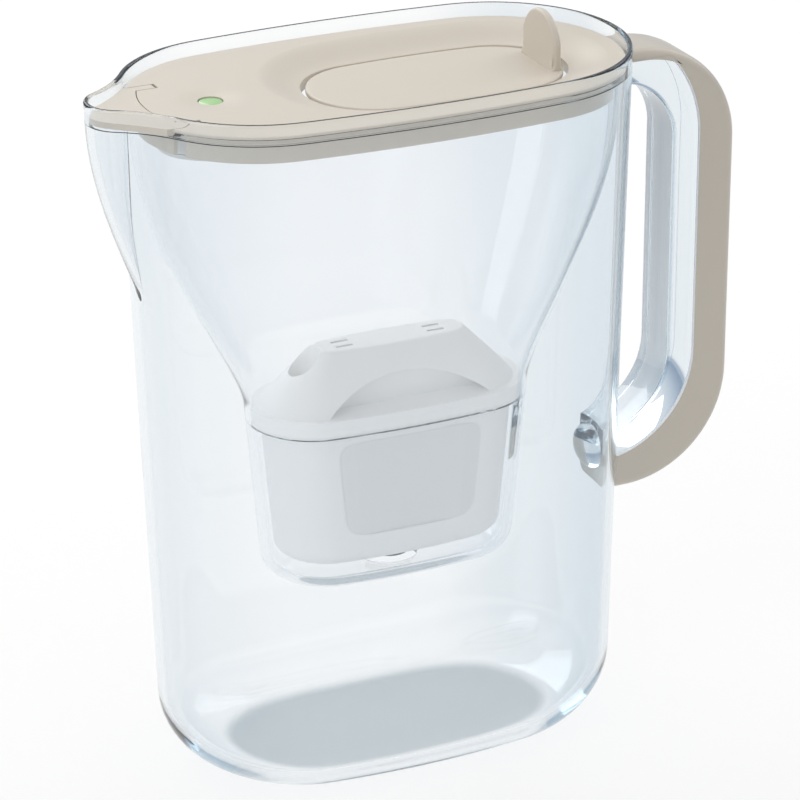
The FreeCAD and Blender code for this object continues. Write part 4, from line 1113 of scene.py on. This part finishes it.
# %% [markdown]
# ## The reminder light
# The button is a small turned piece: a stem that reaches down to the switch, and a slightly domed
# face. A list of radii and heights, turned round its axis, gives it without any modifier.

# %% Reminder light
LENS_PROFILE = [
    (2.4, 266.6), (2.4, 268.2), (4.4, 268.2), (4.45, 270.7), (4.3, 270.92), (3.6, 271.08),
    (2.4, 271.18), (1.2, 271.22), (0.05, 271.24),
]
button = ring_stack(turned(LENS_PROFILE, (LIGHT_AT, 0)))
light = new_piece("reminder_light", *button, "reset_button", GREEN_LENS)
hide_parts("reset_button")
print("light:", len(light.data.polygons), "faces")

# %% [markdown]
# ## Softened CAD pieces
# The cartridge, the spout flap and the housing keep their CAD shape. A narrow bevel breaks their
# edges, as on any moulding, so that they catch a thin line of light. CAD meshes come with split
# corners, so a weld goes first, or the bevel would find no edges.

# %% Soft edges
def soften(node, width_mm):
    piece = frame["nodes"][node]
    weld = piece.modifiers.new("weld", "WELD")
    weld.merge_threshold = 1e-6
    bevel = piece.modifiers.new("soft_edges", "BEVEL")
    bevel.width = width_mm * MM
    bevel.segments = 3
    bevel.limit_method = "ANGLE"
    bevel.angle_limit = math.radians(40)


SOFT_EDGES = {
    "cartridge_cap": 0.7, "cartridge_cup": 0.5, "spout_flap": 0.3, "module_housing": 0.5,
}
for node, width in SOFT_EDGES.items():
    soften(node, width)
print("edges softened on", ", ".join(SOFT_EDGES))

# %% [markdown]
# ## The floor
# The floor is a wide pale sheet. Seen straight on it is nearly white, as in a catalogue, but it
# keeps a share of its own shading, so that the jug casts a soft shadow. Seen through the jug it
# turns bluish far away, which draws the thin dark lines at the edges of clear plastic.

# %% Floor
WHITE_SHARE, NEAR_SHARE, FAR_SHARE = 0.68, 0.3, 0.65
DUSK, DUSK_FROM, DUSK_TO = (0.42, 0.50, 0.60, 1), 0.75, 1.7
SHEET_HALF, SHEET_Z = 3.0, -0.05


def floor_finish():
    finish, start = new_finish("pale_floor")
    grain = mottle(start, 3.0)
    paper = start.node("ShaderNodeBsdfPrincipled", None, {
        "Base Color": blend_colours(start, grain, (0.90, 0.90, 0.90, 1), (0.92, 0.92, 0.92, 1)),
        "Roughness": 1.0,
        "Specular IOR Level": 0.0,
    })
    white = start.node("ShaderNodeEmission", None, {"Color": (1, 1, 1, 1)})
    dusk = start.node("ShaderNodeEmission", None, {"Color": DUSK})
    far = start.node(
        "ShaderNodeVectorMath", {"operation": "LENGTH"}, {0: object_place(start)}, "Value"
    )
    away = eased_range(start, far, DUSK_FROM, DUSK_TO)
    straight_view = WHITE_SHARE * light_path(start, "Is Camera Ray", "Is Glossy Ray")
    bent_view = (NEAR_SHARE + FAR_SHARE * away) * light_path(start, "Is Transmission Ray")
    lit = blend_shaders(start, straight_view, paper, white)
    backdrop = blend_shaders(start, away, white, dusk)
    put_out(start, blend_shaders(start, bent_view, lit, backdrop))
    return finish


def floor_sheet(steps=8):
    """A flat grid just under the jug."""
    side = np.linspace(-SHEET_HALF, SHEET_HALF, steps + 1) / MM
    points = [(x, y, SHEET_Z) for y in side for x in side]
    lows = [row * (steps + 1) + k for row in range(steps) for k in range(steps)]
    return points, [(low, low + 1, low + steps + 2, low + steps + 1) for low in lows]


floor = new_piece("floor", *floor_sheet(), None, floor_finish())
print("floor:", 2 * SHEET_HALF, "m wide")

# %% [markdown]
# ## The studio around it
# The world gives even soft light from all sides. Where it is seen, in a reflection or through the
# plastic, it runs from blue-grey at the horizon to white above, because a clear jug in an evenly
# white room would have no outline at all.

# %% World
SOFT_LIGHT = 0.64
HORIZON = [(0.0, (0.30, 0.38, 0.50, 1)), (0.2, (0.6, 0.67, 0.75, 1)), (0.5, (1, 1, 1, 1))]
world = bpy.data.worlds.new("studio")
bpy.context.scene.world = world
world.use_nodes = True
world.node_tree.nodes.clear()
sky = Wire(world.node_tree)
facing = sky.node("ShaderNodeTexCoord", output="Generated")
up = sky.node("ShaderNodeSeparateXYZ", None, {"Vector": facing}, "Z")
tone = sky.node("ShaderNodeValToRGB", {"stops": HORIZON}, {"Fac": up})
soft = sky.node("ShaderNodeBackground", None, {"Color": (1, 1, 1, 1), "Strength": SOFT_LIGHT})
shown = sky.node("ShaderNodeBackground", None, {"Color": tone, "Strength": 1.0})
seen = light_path(sky, "Is Camera Ray", "Is Glossy Ray", "Is Transmission Ray")
sky.node("ShaderNodeOutputWorld", None, {"Surface": blend_shaders(sky, seen, soft, shown)})
print("world:", world.name)

# %% [markdown]
# ## Soft boxes
# Four large soft boxes shape the jug: one above, one behind, which lights the cartridge through the
# wall, and one on each side. Small lamps would be cheaper, but their hard spots show in plastic.

# %% Soft boxes
SOFT_BOXES = [
    ("top_box", (0.1, 0.2, 1.5), (1.4, 1.4), 2),
    ("back_box", (-0.3, 1.3, 1.1), (1.4, 0.9), 10),
    ("left_box", (-1.3, -0.6, 0.8), (0.8, 1.2), 4.5),
    ("right_box", (1.3, 0.3, 1.1), (0.8, 1.2), 5),
]
JUG_MIDDLE = Vector((0.0, 0.0, 0.14))


def in_scene(name, data, place, ahead):
    """A lamp or camera that looks along a direction."""
    thing = bpy.data.objects.new(name, data)
    thing.location = place
    thing.rotation_euler = ahead.to_track_quat("-Z", "Y").to_euler()
    bpy.context.scene.collection.objects.link(thing)
    return thing


for name, place, size, power in SOFT_BOXES:
    lamp = bpy.data.lights.new(name, "AREA")
    lamp.shape = "RECTANGLE"
    lamp.size, lamp.size_y = size
    lamp.energy = power
    in_scene(name, lamp, place, JUG_MIDDLE - Vector(place))
print("soft boxes:", len(SOFT_BOXES))

# %% [markdown]
# ## Camera
# A long lens keeps the uprights nearly parallel, as in a catalogue. Light that is caught between
# the clear walls bounces many times before it comes out, so more bounces are allowed than usual, or
# the jug's bottom edge would show black patches.

# %% Camera
CAMERA_AT, AZIMUTH, ELEVATION = (-0.5927, -1.2753, 0.74875), -25.151, 23.409
LENS_MM, SENSOR_MM, BOUNCES = 180.0, 36.0, 32
lens = bpy.data.cameras.new("camera")
lens.lens, lens.sensor_width = LENS_MM, SENSOR_MM
azimuth, elevation = math.radians(AZIMUTH), math.radians(ELEVATION)
level = math.cos(elevation)
ahead = Vector((-math.sin(azimuth) * level, math.cos(azimuth) * level, -math.sin(elevation)))
scene = bpy.context.scene
scene.camera = in_scene("camera", lens, CAMERA_AT, ahead)
scene.view_settings.view_transform = "Standard"
light_steps = scene.cycles
light_steps.max_bounces = light_steps.transmission_bounces = light_steps.glossy_bounces = BOUNCES
print("camera", [round(v, 4) for v in scene.camera.location])
